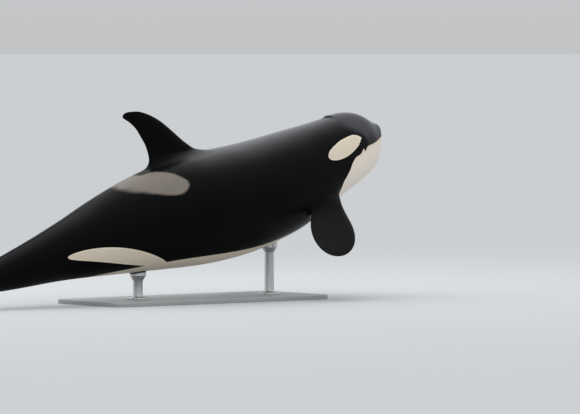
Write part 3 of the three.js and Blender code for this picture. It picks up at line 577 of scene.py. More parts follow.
def flipperPoint(side):
    pitch = math.radians(float(pitchAt(flipper["s"])))
    forward = np.array([math.cos(pitch), 0, math.sin(pitch)])
    up = np.array([-math.sin(pitch), 0, math.cos(pitch)])
    a, b, c = flipper["span"]
    span = forward * a + np.array([0, side * b, 0]) + up * c
    span /= np.linalg.norm(span)
    chord = forward - flipper["lean"] * up
    chord -= span * (chord @ span)
    chord /= np.linalg.norm(chord)
    face = -side * np.cross(chord, span)
    root = bareSkin(flipper["s"], side * flipper["angle"])
    skinAt, widest, thin = flipper["skinAt"], flipper["widest"], flipper["tipThickness"]

    def at(q, t):
        q, t = np.broadcast_arrays(q, t)
        v = np.sin(np.clip((q - skinAt) / (1 - skinAt), 0, 1) * math.pi / 2)
        past = np.clip((v - widest) / (1 - widest), 0, 1)
        rounded = np.sqrt(np.maximum(1 - past * past, 0))
        swell = np.sin(math.pi / 2 * np.minimum(1, v / widest)) ** 2
        half = (flipper["rootHalf"] + flipper["swell"] * swell) * flipper["chord"] * rounded
        taper = thin + (flipper["thickness"] - thin) * (1 - v) ** 0.7
        thickness = taper * (0.35 + 0.65 * rounded) * np.sqrt(np.maximum(1 - past ** 16, 0))
        thickness = thickness + flipper["flare"][0] * bump(v, 0, flipper["flare"][1])
        along = np.where(q < skinAt, flipper["sunk"] * (q / skinAt - 1), flipper["length"] * v)
        share, face2 = chordAt(t)
        across = -flipper["sweep"] * flipper["chord"] * v * v + half * (1 - 2 * share)
        fullness = 1 - smooth(v, 0.02, 0.34)
        edge = flipper["edge"] * np.minimum(1, rounded * 2)
        thick = face2 * halfThick(share, thickness, edge, fullness) - flipper["bend"] * v * v
        return root + along[..., None] * span + across[..., None] * chord + thick[..., None] * face
    return at


# flukes: one wing from tip to tip, its middle growing out of the tail stock
flukeRear = [
    (0.0, 0.9985), (0.05, 1.0025), (0.15, 1.0085), (0.35, 1.0115), (0.6, 1.0095), (0.8, 1.0105),
    (0.92, 1.016), (1.0, 1.0235),
]
flukes = {
    "span": 1.4, "root": 0.915, "sweep": (0.104, 1.45),
    "thickness": 0.068, "tipThickness": 0.008, "thinning": 0.8, "flare": (0.030, 0.2), "edge": 0.006,
    "lift": (0.018, 0.08), "droop": 0.060,
    "rings": 230, "steps": 180, "lastRing": 0.985,
}
flukeRearAt = spline(flukeRear)


def flukeEdges(v):
    v = np.abs(v)
    amount, power = flukes["sweep"]
    front = flukes["root"] + amount * v ** power
    return front, np.maximum(flukeRearAt(v), front + 0.0008)


def flukeThickness(v):
    v = np.abs(v)
    thin = flukes["tipThickness"]
    extra, width = flukes["flare"]
    return thin + (flukes["thickness"] - thin) * (1 - v) ** flukes["thinning"] + extra * bump(v, 0, width)


def flukeBend(v):
    v = np.abs(v)
    amount, soon = flukes["lift"]
    return amount * v * v / (v + soon) - flukes["droop"] * v * v


def flukePoint(v, t):
    # t from -0.5 to 0.5 round the section, its top where t is above 0
    v, t = np.broadcast_arrays(v, t)
    share, side = chordAt(t)
    front, rear = flukeEdges(v)
    z = flukeBend(v) + side * halfThick(share, flukeThickness(v), flukes["edge"])
    return place(front + (rear - front) * share, v * flukes["span"] / 2, z)


def flukeInverse(p):
    s, y, z = toSpine(p)
    v = np.clip(y / (flukes["span"] / 2), -1, 1)
    front, rear = flukeEdges(v)
    share = np.clip((s - front) / (rear - front), 0, 1)
    off = z - flukeBend(v)
    t = np.sign(off) * np.arccos(1 - 2 * share) / (2 * math.pi)
    half = halfThick(share, flukeThickness(v), flukes["edge"])
    return v, t, np.abs(off) - half + np.maximum(front - s, 0) * bodyLength


# body grid
rows, columns = orca["rows"], orca["columns"]
rowRoot = np.linspace(orca["firstRow"], math.sqrt(orca["lastRow"]), rows)
rowShare = rowRoot ** 2

# columns crowd along the mouth
mouthShare = np.minimum(rowShare, mouthEnd)
mouthAngle = angleAtHeight(mouthShare, mouthAt(mouthShare))
crowding, crowdAngle = orca["mouthCrowd"]
crowd = crowding * (1 - smooth(rowShare, 0.09, 0.16))
fine = np.linspace(0, math.pi, 721)
density = 1 + crowd[:, None] * bump(fine[None, :], mouthAngle[:, None], crowdAngle)
total = np.concatenate([np.zeros((rows, 1)), np.cumsum((density[:, 1:] + density[:, :-1]) / 2, 1)], 1)
total /= total[:, -1:]
even = np.arange(columns // 2 + 1) / (columns // 2)
halfAngle = np.array([np.interp(even, total[i], fine) for i in range(rows)])
gridAngle = np.concatenate([-halfAngle[:, :0:-1], halfAngle[:, :-1]], 1)
gridShare = np.broadcast_to(rowShare[:, None], gridAngle.shape)
gridIndex = addPoints(skin(gridShare, gridAngle), gridShare, gridAngle)
gridOpen = np.ones((rows - 1, columns), bool)
closeAcross(gridIndex[0])
print("body grid", gridIndex.shape)


def openBody(loopIndex, loopS, loopAngle, radius, pad=0.012):
    # cuts a window into the grid and stitches it to the loop
    spacing = bodyLength * 2 * math.sqrt(loopS.mean()) * (rowRoot[1] - rowRoot[0])
    padShare, padAngle = (pad + 2 * spacing) / bodyLength, pad / radius
    r0 = np.searchsorted(rowShare, loopS.min() - padShare) - 1
    r1 = np.searchsorted(rowShare, loopS.max() + padShare) + 1
    angles = gridAngle[r0:r1 + 1]
    c0 = int(np.min((angles < loopAngle.min() - padAngle).sum(1))) - 1
    c1 = int(np.max((angles <= loopAngle.max() + padAngle).sum(1))) + 1
    window = gridIndex[r0:r1 + 1, c0:c1 + 1]
    x = np.broadcast_to(rowShare[r0:r1 + 1, None], window.shape) * bodyLength
    y = angles[:, c0:c1 + 1] * radius
    gridOpen[r0:r1, c0:c1] = False
    clear = 0.55 * min(spacing, radius * 2 * math.pi / columns)    # grid points nearer the loop go
    stitch(window, x, y, loopIndex, loopS * bodyLength, loopAngle * radius, clear)


lastRing = 0.9985        # of a limb, just before its tip


def addLimb(name, kind, point, spec):
    radius = spec["hostRadius"]
    t, q1, rings, ringA, ringB = raiseLimb(name, point, spec, skinDistance, skin, (bodyLength, radius))
    index = addPoints(rings, ringA, ringB)
    bandFaces(index)
    openBody(index[0], ringA[0], ringB[0], radius)
    out = np.linspace(0, 1, spec["rings"])[1:, None]
    outer = point(q1[None, :] + (lastRing - q1[None, :]) * out, t[None, :])
    share, side = chordAt(t)
    more = addPoints(outer, kind=kind, out=out, across=(side * share)[None, :])
    bandFaces(np.concatenate([index[-1:], more]))
    closeToPoint(more[-1], outer[-1], kind=kind)


addLimb("dorsal fin", "fin", finPoint, fin)
for side in (1, -1):
    addLimb("flipper", "flipper", flipperPoint(side), flipper)

# openings in the skin; their rings: half length, half height, lift, how far they follow the eyeball
eyelids = {
    "place": eyePlace, "kind": "body", "lean": math.radians(-14), "sharp": 1.12, "crescent": 0.0,
    "lidHeights": (0.5, 0.12), "slant": 0.05, "gap": 0.0012,   # upper over lower lid, its folds
    "rings": [
        (0.074, 0.060, 0.0, 0.0), (0.062, 0.049, 0.0006, 0.0), (0.053, 0.040, 0.0012, 0.0),
        (0.0465, 0.0335, -0.0006, 0.0), (0.0415, 0.0285, -0.0022, 0.0), (0.037, 0.0242, 0.0008, 0.0),
        (0.0325, 0.0198, 0.0036, 0.2), (0.0287, 0.0158, 0.0032, 0.6), (0.0262, 0.0136, 0.0014, 0.95),
        (0.0248, 0.0126, 0.0, 1.0), (0.0242, 0.0122, -0.005, 0.6), (0.0242, 0.0122, -0.014, 0.0),
    ],
    "ringCount": 34, "steps": 96,
}
crescentHole = {
    "place": blowhole, "kind": "blowhole", "lean": 0.0, "sharp": 1.0, "crescent": 0.017,
    "lidHeights": (0.0, 0.0), "slant": 0.0, "gap": 0.0,
    "rings": [
        (0.070, 0.105, 0.0, 0), (0.055, 0.092, 0.0010, 0), (0.041, 0.080, 0.0036, 0),
        (0.030, 0.072, 0.0052, 0), (0.0215, 0.0665, 0.0042, 0), (0.0165, 0.063, 0.0005, 0),
        (0.0135, 0.060, -0.007, 0), (0.0118, 0.057, -0.020, 0), (0.009, 0.050, -0.038, 0),
        (0.006, 0.034, -0.052, 0),
    ],
    "ringCount": 36, "steps": 110,
}


def ringProfile(knots, count):
    # more rings, smoothly between the ones given
    keys = [(i,) + tuple(k) for i, k in enumerate(knots)]
    at = np.linspace(0, len(keys) - 1, count)
    return np.stack([spline(keys, c)(at) for c in range(1, len(keys[0]))], -1)


def openSkin(spec, side):
    # gives the last, deepest ring
    s0, angle0 = spec["place"]["s"], side * spec["place"]["angle"]
    radius = float(reachAt(np.array(s0), np.array(angle0)))
    turn = np.arange(spec["steps"]) / spec["steps"] * 2 * math.pi
    lean, (upperLid, folds) = spec["lean"], spec["lidHeights"]
    rings, shares, angles = [], [], []
    for a, b, lift, follow in ringProfile(spec["rings"], spec["ringCount"]):
        x = a * np.cos(turn)
        y = b * np.sign(np.sin(turn)) * np.abs(np.sin(turn)) ** spec["sharp"]
        x = x + spec["crescent"] * np.sin(math.pi / 2 * np.minimum(np.abs(y) / 0.07, 1)) ** 2
        s = s0 - (x * math.cos(lean) - y * math.sin(lean)) / bodyLength
        angle = angle0 - side * (x * math.sin(lean) + y * math.cos(lean)) / radius
        height = lift * (1 + upperLid * np.sin(turn) + folds * np.sin(3 * turn + 1))
        x = x + spec["slant"] * a * np.sin(2 * turn)
        ball = np.sqrt(np.maximum(eyePlace["radius"] ** 2 - x * x - y * y, 0)) - eyePlace["depth"]
        height = height * (1 - follow) + (ball + spec["gap"] + lift) * follow
        rings.append(skin(s, angle) + skinNormal(s, angle) * height[:, None])
        shares.append(s)
        angles.append(angle)
    rings, deeper = np.array(rings), np.linspace(0, 1, len(rings))[:, None]
    index = addPoints(rings, np.array(shares), np.array(angles), kind=spec["kind"], out=deeper)
    bandFaces(index)
    openBody(index[0], shares[0], angles[0], radius, 0.006)
    return index[-1], rings[-1]


for side in (1, -1):
    openSkin(eyelids, side)
closeToPoint(*openSkin(crescentHole, 1), kind="blowhole")
meshFaces.append(quadsRound(gridIndex)[gridOpen])
print("eyes and blowhole opened")

# the tail stock runs on into the flukes
stock = {
    "start": orca["lastRow"], "end": 0.992, "bridge": 40,
    "steps": columns, "soften": 12, "skirt": (0.06, 0.06, 0.06), "rise": (0.10, 0.10, 0.10),
}
lastAngles = gridAngle[-1]


def stockPoint(q, t):
    s = stock["end"] + (stock["start"] - stock["end"]) * q
    return bareSkin(s, np.interp(t * columns, np.arange(columns), lastAngles))


flukeScale = (flukes["span"] / 2, 1.0)
t, q1, rings, ringA, ringB = raiseLimb(
    "tail stock", stockPoint, stock, flukeInverse, flukePoint, flukeScale)
stockS = stock["end"] + (stock["start"] - stock["end"]) * q1
bridgeS = stockS + (stock["start"] - stockS) * np.linspace(0, 1, stock["bridge"])[1:-1, None]
index = addPoints(rings, kind="fluke", out=np.abs(ringA), across=np.sign(ringB) * 0.02)
more = addPoints(bareSkin(bridgeS, lastAngles[None, :]), bridgeS, lastAngles[None, :])
bandFaces(np.concatenate([index, more, gridIndex[-1:]]))

wingV = np.sin(np.linspace(-1, 1, flukes["rings"]) * math.pi / 2 * flukes["lastRing"])
wingT = (np.arange(flukes["steps"]) + 0.5) / flukes["steps"] - 0.5
wingPoints = flukePoint(wingV[:, None], wingT[None, :])
share, side = chordAt(wingT)
wingIndex = addPoints(wingPoints, kind="fluke", out=np.abs(wingV)[:, None], across=(side * share)[None, :])
# window in the wing, a few cells wider than the loop
r0, c0 = np.searchsorted(wingV, ringA[0].min()) - 3, np.searchsorted(wingT, ringB[0].min()) - 3
r1, c1 = np.searchsorted(wingV, ringA[0].max()) + 2, np.searchsorted(wingT, ringB[0].max()) + 2
window = wingIndex[r0:r1 + 1, c0:c1 + 1]
planeX = np.broadcast_to((wingV * flukeScale[0])[r0:r1 + 1, None], window.shape)
planeY = np.broadcast_to((wingT * flukeScale[1])[None, c0:c1 + 1], window.shape)
stitch(window, planeX, planeY, index[0], ringA[0] * flukeScale[0], ringB[0] * flukeScale[1], 0.004)
wingOpen = np.ones((flukes["rings"] - 1, flukes["steps"]), bool)
wingOpen[r0:r1, c0:c1] = False
meshFaces.append(quadsRound(wingIndex)[wingOpen])
for end in (0, -1):
    closeToPoint(wingIndex[end], wingPoints[end], kind="fluke")
print("flukes joined")

# markings: metres inside each marking's edge, kept within the limit
points = np.concatenate(meshPoints)
marks = np.concatenate(bodyMarks)
limbs = np.concatenate(limbMarks)
onBody = marks[:, 0] < notOnBody
onFin, onFluke, inHole = (limbs[:, 0] == limbKinds.index(kind) for kind in ("fin", "fluke", "blowhole"))
markLimit = 0.08


def closedCurve(knots, count):
    # smooth closed curve through the knots
    p = np.array(knots, float)
    n = len(p)
    t = np.arange(count) / count * n
    i = t.astype(int)
    f = (t - i)[:, None]
    a, b, c, d = (p[(i + k) % n] for k in (-1, 0, 1, 2))
    squared, cubed = 2 * a - 5 * b + 4 * c - d, 3 * b - a - 3 * c + d
    return 0.5 * ((2 * b) + (c - a) * f + squared * f ** 2 + cubed * f ** 3)


def markDistance(s, angle, outline, limit=markLimit):
    # metres inside an outline drawn on the body, negative outside
    outline = np.stack([outline[:, 0] * bodyLength, np.radians(outline[:, 1])], -1)
    x = s * bodyLength
    low, high = outline.min(0) - (0.1, 0.5), outline.max(0) + (0.1, 0.5)
    near = (x > low[0]) & (x < high[0]) & (angle > low[1]) & (angle < high[1])
    d = np.full(len(s), -limit)
    d[near] = outlineDistance(x[near], angle[near], outline, reachAt(s[near], angle[near]), limit)
    return d


def spread(where, values, elsewhere=0.0):
    # a value for every point, from the values of some
    full = np.full(len(points), elsewhere)
    full[where] = values
    return full


# outlines of the markings: place along, degrees from the back
eyePatch = [
    (0.0790, 57.2), (0.0863, 51.7), (0.0970, 48.8), (0.1093, 49.1), (0.1194, 50.1), (0.1337, 51.6),
    (0.1443, 53.7), (0.1555, 56.3), (0.1649, 58.8), (0.1721, 61.7), (0.1769, 65.6), (0.1778, 68.9),
    (0.1738, 72.5), (0.1655, 75.4), (0.1569, 77.3), (0.1464, 78.4), (0.1353, 78.6), (0.1249, 77.8),
    (0.1139, 76.0), (0.1037, 73.0), (0.0971, 70.6), (0.0913, 67.3), (0.0871, 64.4), (0.0836, 61.5),
    (0.0808, 59.4),
]
saddleHalf = [
    (0.5565, 0.0), (0.5535, 6.5), (0.5455, 9.1), (0.5368, 10.9), (0.5297, 13.6), (0.5239, 17.1),
    (0.5177, 20.8), (0.5120, 24.3), (0.5074, 28.0), (0.5034, 31.8), (0.4993, 35.7), (0.4957, 39.9),
    (0.4938, 43.8), (0.4975, 49.0), (0.506, 53.0), (0.518, 54.5), (0.533, 52.5), (0.549, 47.5),
    (0.565, 40.5), (0.580, 32.0), (0.593, 23.0), (0.603, 13.0), (0.6075, 0.0),
]
saddle = closedCurve(saddleHalf + [(a, -b) for a, b in saddleHalf[-2:0:-1]], 300)
# white lobe on the flank: an oval that leans back, from its middle, long half and short half
flankLobe = {"middle": (0.65, 122), "long": (0.098, 29), "short": (0.016, 12), "fuller": 3}
turn = np.linspace(0, 2 * math.pi, 140, endpoint=False)
(s0, angle0), (longS, longAngle), (shortS, shortAngle) = (flankLobe[k] for k in ("middle", "long", "short"))
shortAngle = shortAngle + flankLobe["fuller"] * np.cos(turn)
lobe = np.stack([
    s0 + longS * np.cos(turn) - shortS * np.sin(turn),
    angle0 - longAngle * np.cos(turn) - shortAngle * np.sin(turn)], -1)

# white of the chin, throat and belly as one outline, but in front as height under the mouth line
s, angle = marks[onBody, 0], marks[onBody, 1]
side = np.abs(angle)
mouthPart = np.linspace(0.03, mouthEnd, 60)
rearPart = np.concatenate([np.linspace(0.0815, 0.2, 90), np.linspace(0.205, 0.75, 80)])
edgeShare = np.concatenate([mouthPart, [chinEdge[0][0]], rearPart])
edgeHeight = np.concatenate([mouthAt(mouthPart), [chinEdge[0][1]], spline(chinEdge[1:])(rearPart)])
edgeAngle = np.degrees(angleAtHeight(edgeShare, edgeHeight))
under = np.concatenate([np.stack([edgeShare, edgeAngle], -1), [(0.75, 230.0), (0.03, 230.0)]])
underMouth = (mouthAt(s) - heightAt(s, side)) * bodyLength
share = smooth(s, 0.045, 0.06)
white = underMouth * (1 - share) + markDistance(s, side, under) * share
for outline in (closedCurve(eyePatch, 320), lobe):
    white = np.maximum(white, markDistance(s, side, outline))
whiteMark = spread(onBody, np.clip(white, -markLimit, markLimit), -markLimit)

# the saddle's edge grows softer behind; its mark counts in widths of that edge
softness = 0.024 + 0.045 * smooth(s, 0.545, 0.60)
saddleLimit = 3.0
saddleDepth = markDistance(s, angle, saddle, 0.2) / softness
saddleMark = spread(onBody, np.clip(saddleDepth, -saddleLimit, saddleLimit), -saddleLimit)

# painted sheen: the top of the back, the foot of the fin and the face are painted paler grey, standing in
# for the sky's reflection in the wet skin; the paler back fades down the sides and from the fin's front
# backwards, and covers the face
paintedBackSheen = {"strength": 0.72, "downTo": 1.35, "finFront": (0.395, 0.45)}
paintedSheenAlongTop = paintedBackSheen["strength"] * (1 - smooth(side, 0.0, paintedBackSheen["downTo"])) ** 2
paintedSheenAlongTop = paintedSheenAlongTop * (1 - 0.85 * smooth(s, 0.41, 0.50) * (1 - 0.5 * smooth(s, 0.6, 0.7)))
paintedSheenAlongTop = paintedSheenAlongTop * (1 - 0.8 * smooth(s, *paintedBackSheen["finFront"]) * (1 - smooth(side, 0.02, 0.22)))
paintedSheenOverFace = 1 - smooth(side, 0.45, 2.0)
faceEnd = 0.125 - 0.050 * smooth(side, 0.5, 1.1)
faceShare = 1 - smooth(s, faceEnd - 0.055 + 0.035 * smooth(side, 0.5, 1.1), faceEnd)
paintedSheenMark = spread(onBody, paintedSheenAlongTop * (1 - faceShare) + paintedSheenOverFace * faceShare)
finShare = toSpine(points[onFin])[0]
paintedSheenAlongFin = paintedBackSheen["strength"] * (1 - 0.95 * smooth(finShare, *paintedBackSheen["finFront"]))
paintedSheenMark[onFin] = paintedSheenAlongFin * (1 - smooth(limbs[onFin, 1], 0.0, 0.2))
# no painted sheen deep inside the blowhole
paintedSheenMark[inHole] *= 1 - smooth(limbs[inHole, 1], 0.42, 0.60)

# the chin is a little cooler than the rest of the white, and painted paler to stand in for light falling on
# its front
onChin = np.maximum(1 - smooth(s, 0.082, 0.094), smooth(side, 1.5, 1.7))
chinCoolLitMark = spread(onBody, onChin * (1 - smooth(s, 0.16, 0.30)))

# underside of the flukes is white inside a dark rim
out, across = limbs[onFluke, 1], limbs[onFluke, 2]
fromEdges = np.minimum(-across - 0.12, 0.86 + across) * 0.4
fromEnds = np.minimum(out - 0.08, 0.86 - out) * 0.7
whiteMark[onFluke] = np.clip(np.minimum(fromEdges, fromEnds), -markLimit, markLimit)

# the skin as one object
faces4, faces3 = (np.concatenate([f for f in meshFaces if f.shape[1] == n]) for n in (4, 3))
mesh = bpy.data.meshes.new("orcaSkin")
mesh.vertices.add(len(points))
mesh.vertices.foreach_set("co", points.astype(np.float32).ravel())
loops = np.concatenate([faces4.ravel(), faces3.ravel()]).astype(np.int32)
starts = np.concatenate([np.arange(len(faces4)) * 4, len(faces4) * 4 + np.arange(len(faces3)) * 3])
mesh.loops.add(len(loops))
mesh.loops.foreach_set("vertex_index", loops)
mesh.polygons.add(len(starts))
mesh.polygons.foreach_set("loop_start", starts.astype(np.int32))
mesh.update(calc_edges=True)
mesh.validate()
# back holds the painted sheen on the top of the back, the fin's foot and the face
# chin holds the chin's cooler tone together with painted light on its front
for name, values in (("white", whiteMark), ("saddle", saddleMark), ("back", paintedSheenMark), ("chin", chinCoolLitMark)):
    layer = mesh.attributes.new(name, "FLOAT", "POINT")
    layer.data.foreach_set("value", values.astype(np.float32))
skinPiece = bpy.data.objects.new("orcaSkin", mesh)
bpy.context.scene.collection.objects.link(skinPiece)
bpy.context.view_layer.objects.active = skinPiece
skinPiece.select_set(True)
bpy.ops.object.mode_set(mode="EDIT")
bpy.ops.mesh.select_all(action="SELECT")
bpy.ops.mesh.normals_make_consistent(inside=False)
bpy.ops.object.mode_set(mode="OBJECT")
mesh.polygons.foreach_set("use_smooth", np.ones(len(mesh.polygons), bool))
print("skin:", len(mesh.vertices), "points,", len(mesh.polygons), "faces")
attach(skinPiece, "root")
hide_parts("head", "lower_jaw", "eye_patch_left", "eye_patch_right", "throat", "belly",
            "chest", "torso", "tail_stock", "flank_patch_left", "flank_patch_right", "saddle_patch",
            "dorsal_fin", "flipper_left", "flipper_right", "fluke_left", "fluke_right")


# materials
def newMaterial(name, constants):
    material = bpy.data.materials.new(name)
    material.use_nodes = True
    nodes, links = material.node_tree.nodes, material.node_tree.links
    shader = nodes["Principled BSDF"]
    for socket, value in constants.items():
        shader.inputs[socket].default_value = value
    return material, nodes, links, shader


def addNode(nodes, kind, **settings):
    # in_3=... sets input 3, any other setting is the node's own
    node = nodes.new(kind)
    for key, value in settings.items():
        if key.startswith("in_"):
            node.inputs[int(key[3:])].default_value = value
        else:
            setattr(node, key, value)
    return node


def mapped(nodes, links, source, **settings):
    node = addNode(nodes, "ShaderNodeMapRange", **settings)
    links.new(source, node.inputs[0])
    return node.outputs[0]


def attributeMask(nodes, links, name, low, high, disturb=None, amount=0.0):
    value = addNode(nodes, "ShaderNodeAttribute", attribute_name=name).outputs["Fac"]
    if disturb is not None:
        shift = addNode(nodes, "ShaderNodeMath", operation="MULTIPLY_ADD", in_1=amount)
        links.new(disturb, shift.inputs[0])
        links.new(value, shift.inputs[2])
        value = shift.outputs[0]
    return mapped(nodes, links, value, interpolation_type="SMOOTHSTEP", in_1=low, in_2=high)


def blendColour(nodes, links, mask, first, second):
    mix = addNode(nodes, "ShaderNodeMix", data_type="RGBA")
    for socket, colour in ((mix.inputs[6], first), (mix.inputs[7], second)):
        if isinstance(colour, tuple):
            socket.default_value = (*colour, 1)
        else:
            links.new(colour, socket)
    links.new(mask, mix.inputs[0])
    return mix.outputs[2]


def noise(nodes, links, scale, detail=4, rough=0.55, stretch=None):
    source = addNode(nodes, "ShaderNodeTexCoord").outputs["Object"]
    if stretch:
        mapping = addNode(nodes, "ShaderNodeMapping")
        mapping.inputs["Scale"].default_value = stretch
        links.new(source, mapping.inputs[0])
        source = mapping.outputs[0]
    texture = addNode(nodes, "ShaderNodeTexNoise")
    for socket, value in (("Scale", scale), ("Detail", detail), ("Roughness", rough)):
        texture.inputs[socket].default_value = value
    links.new(source, texture.inputs["Vector"])
    return texture.outputs["Fac"]


def bumpBy(nodes, links, shader, source, strength, distance):
    node = addNode(nodes, "ShaderNodeBump")
    node.inputs["Strength"].default_value = strength
    node.inputs["Distance"].default_value = distance
    links.new(source, node.inputs["Height"])
    links.new(node.outputs[0], shader.inputs["Normal"])


def tonedMaterial(name, tones, grain, constants):
    # a colour that wanders between two tones
    material, nodes, links, shader = newMaterial(name, constants)
    source = noise(nodes, links, *grain)
    links.new(blendColour(nodes, links, source, *tones), shader.inputs["Base Color"])
    return material, nodes, links, shader, source


skinLook = {
    "black": (0.0013, 0.0013, 0.0015),
    # back: paler grey painted on the top of the back and the face as sheen; sheen: a painted highlight
    # along the top
    "back": (0.062, 0.062, 0.067),
    "sheen": (0.30, 0.30, 0.315), "sheenPower": 5.0,
    "whiteEdge": (0.80, 0.705, 0.555), "edgeWidth": (0.004, 0.022),
    "white": (0.74, 0.655, 0.530),
    "whiteShade": (0.69, 0.605, 0.485),
    # chin and chinShade: the chin's cooler white, painted paler than the rest as if lit from the front
    "chin": (0.80, 0.735, 0.645),
    "chinShade": (0.75, 0.685, 0.600),
    "saddle": (0.235, 0.207, 0.185),
    "saddleDark": (0.150, 0.131, 0.118),
    "roughness": (0.30, 0.42),
    "gloss": 0.045,
    "grain": (0.06, 0.004),      # strength and depth
}
skinMaterial, nodes, links, shader = newMaterial("wetSkin", {"Specular IOR Level": skinLook["gloss"]})
patchy = noise(nodes, links, 5.0, 5)
speckle = noise(nodes, links, 38.0, 4)
streaks = noise(nodes, links, 9.0, 5, 0.6, (0.35, 1.6, 1.6))
whiteMask = attributeMask(nodes, links, "white", -0.0012, 0.0012)
saddleMask = attributeMask(nodes, links, "saddle", -0.1, 1.3, streaks, 1.1)
paintedSheenMask = attributeMask(nodes, links, "back", 0.0, 1.0)
chinCoolLitMask = attributeMask(nodes, links, "chin", 0.0, 1.0)
rimMask = attributeMask(nodes, links, "white", *skinLook["edgeWidth"])
# the black skin, painted paler grey along the top and over the face as sheen
dark = blendColour(nodes, links, paintedSheenMask, skinLook["black"], skinLook["back"])
# painted sheen: a paler colour along the top, where the skin is seen at a low angle
edgeOn = addNode(nodes, "ShaderNodeLayerWeight")
edgeOn.inputs["Blend"].default_value = 0.5
sheen = addNode(nodes, "ShaderNodeMath", operation="POWER", in_1=skinLook["sheenPower"])
links.new(edgeOn.outputs["Facing"], sheen.inputs[0])
topSheen = addNode(nodes, "ShaderNodeMath", operation="MULTIPLY")
links.new(sheen.outputs[0], topSheen.inputs[0])
links.new(paintedSheenMask, topSheen.inputs[1])
dark = blendColour(nodes, links, topSheen.outputs[0], dark, skinLook["sheen"])
grey = blendColour(nodes, links, streaks, skinLook["saddleDark"], skinLook["saddle"])
pale = blendColour(nodes, links, patchy, skinLook["whiteShade"], skinLook["white"])
# the chin's cooler white, with painted light making it paler
chinCoolLitWhite = blendColour(nodes, links, patchy, skinLook["chinShade"], skinLook["chin"])
pale = blendColour(nodes, links, chinCoolLitMask, pale, chinCoolLitWhite)
pale = blendColour(nodes, links, rimMask, skinLook["whiteEdge"], pale)
colour = blendColour(nodes, links, saddleMask, dark, grey)
colour = blendColour(nodes, links, whiteMask, colour, pale)
links.new(colour, shader.inputs["Base Color"])
smoothest, roughest = skinLook["roughness"]
links.new(mapped(nodes, links, patchy, in_3=smoothest, in_4=roughest), shader.inputs["Roughness"])
bumpBy(nodes, links, shader, speckle, *skinLook["grain"])
mesh.materials.append(skinMaterial)
print("skin coloured")

# eyeballs, open at the back and coloured by the distance from the middle of the pupil
eyeball = {
    "rings": 40, "steps": 64, "firstRing": 0.02, "lastRing": math.pi / 2 * 1.3, "shrink": 0.985,
    "pupil": (0.0006, 0.0006, 0.0007), "pupilEdge": (0.20, 0.23),
    "iris": (0.0075, 0.0036, 0.0022), "irisEdge": (0.52, 0.58),
    "fibres": (0.4, 1.5),        # darkest and palest, as shares of the iris
    "sclera": (0.014, 0.0075, 0.0062),
}
eyeMaterial, nodes, links, shader = newMaterial("wetEye", {"Roughness": 0.05, "Specular IOR Level": 0.10})
fromMiddle = addNode(nodes, "ShaderNodeAttribute", attribute_name="ring").outputs["Fac"]
pupilMask, irisMask = (mapped(nodes, links, fromMiddle, in_1=eyeball[edge][0], in_2=eyeball[edge][1])
                       for edge in ("pupilEdge", "irisEdge"))
irisDark, irisPale = (tuple(share * c for c in eyeball["iris"]) for share in eyeball["fibres"])
iris = blendColour(nodes, links, noise(nodes, links, 300.0, 4), irisDark, irisPale)
colour = blendColour(nodes, links, pupilMask, eyeball["pupil"], iris)
colour = blendColour(nodes, links, irisMask, colour, eyeball["sclera"])
links.new(colour, shader.inputs["Base Color"])

for name, side in (("eye_left", 1), ("eye_right", -1)):
    where = np.array(eyePlace["s"]), np.array(side * eyePlace["angle"])
    normal = skinNormal(*where)
    centre = skin(*where) - normal * eyePlace["depth"]
    tangent = np.cross(normal, [0, 0, 1.0])
    tangent /= np.linalg.norm(tangent)
    other = np.cross(normal, tangent)
    radius, steps = eyePlace["radius"] * eyeball["shrink"], eyeball["steps"]
    shape = [centre + radius * normal]
    values = [0.0]
    faces = [(0, 1 + j, 1 + (j + 1) % steps) for j in range(steps)]
    for i, p in enumerate(np.linspace(eyeball["firstRing"], eyeball["lastRing"], eyeball["rings"])):
        for a in np.arange(steps) / steps * 2 * math.pi:
            direction = math.cos(p) * normal + math.sin(p) * (math.cos(a) * tangent + math.sin(a) * other)
            shape.append(centre + radius * direction)
            values.append(math.sin(min(p, math.pi / 2)))
        if i:
            a0, b0 = 1 + (i - 1) * steps, 1 + i * steps
            faces += [(a0 + j, b0 + j, b0 + (j + 1) % steps, a0 + (j + 1) % steps) for j in range(steps)]
    ball = bpy.data.meshes.new("eyeball" + name[3:])
    ball.from_pydata([tuple(v) for v in shape], [], faces)
    layer = ball.attributes.new("ring", "FLOAT", "POINT")
    layer.data.foreach_set("value", np.array(values, np.float32))
    ball.polygons.foreach_set("use_smooth", np.ones(len(ball.polygons), bool))
    ball.materials.append(eyeMaterial)
    piece = bpy.data.objects.new("eyeball" + name[3:], ball)
    bpy.context.scene.collection.objects.link(piece)
    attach(piece, "root")
    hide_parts(name)
print("eyes set")

# stand
stand = {
    "corner": 0.12, "cornerSteps": 14, "edge": 0.007,
    "rodSteps": 96, "rod": 0.048, "pad": 0.082, "cushion": 0.016, "neck": 0.085, "clear": 0.001,
    "collarHeight": 0.020, "boltCircle": 0.085, "bolts": 6,
    "plateTones": ((0.30, 0.31, 0.32), (0.36, 0.37, 0.38)),
    "steelTones": ((0.48, 0.49, 0.50), (0.60, 0.61, 0.62)), "steelRoughness": (0.24, 0.4),
    "rubberTones": ((0.012, 0.012, 0.013), (0.022, 0.022, 0.023)),
}
plateMaterial, nodes, links, shader, _ = tonedMaterial(
    "standPowderCoat", stand["plateTones"], (2.0, 3), {"Roughness": 0.5})
bumpBy(nodes, links, shader, noise(nodes, links, 260.0, 3), 0.2, 0.0006)
steelMaterial, nodes, links, shader, brush = tonedMaterial(
    "standSteel", stand["steelTones"], (60.0, 4, 0.6, (1, 1, 40)), {"Metallic": 1.0})
smoothest, roughest = stand["steelRoughness"]
links.new(mapped(nodes, links, brush, in_3=smoothest, in_4=roughest), shader.inputs["Roughness"])
rubberMaterial = tonedMaterial("standRubber", stand["rubberTones"], (420.0, 3), {"Roughness": 0.7})[0]


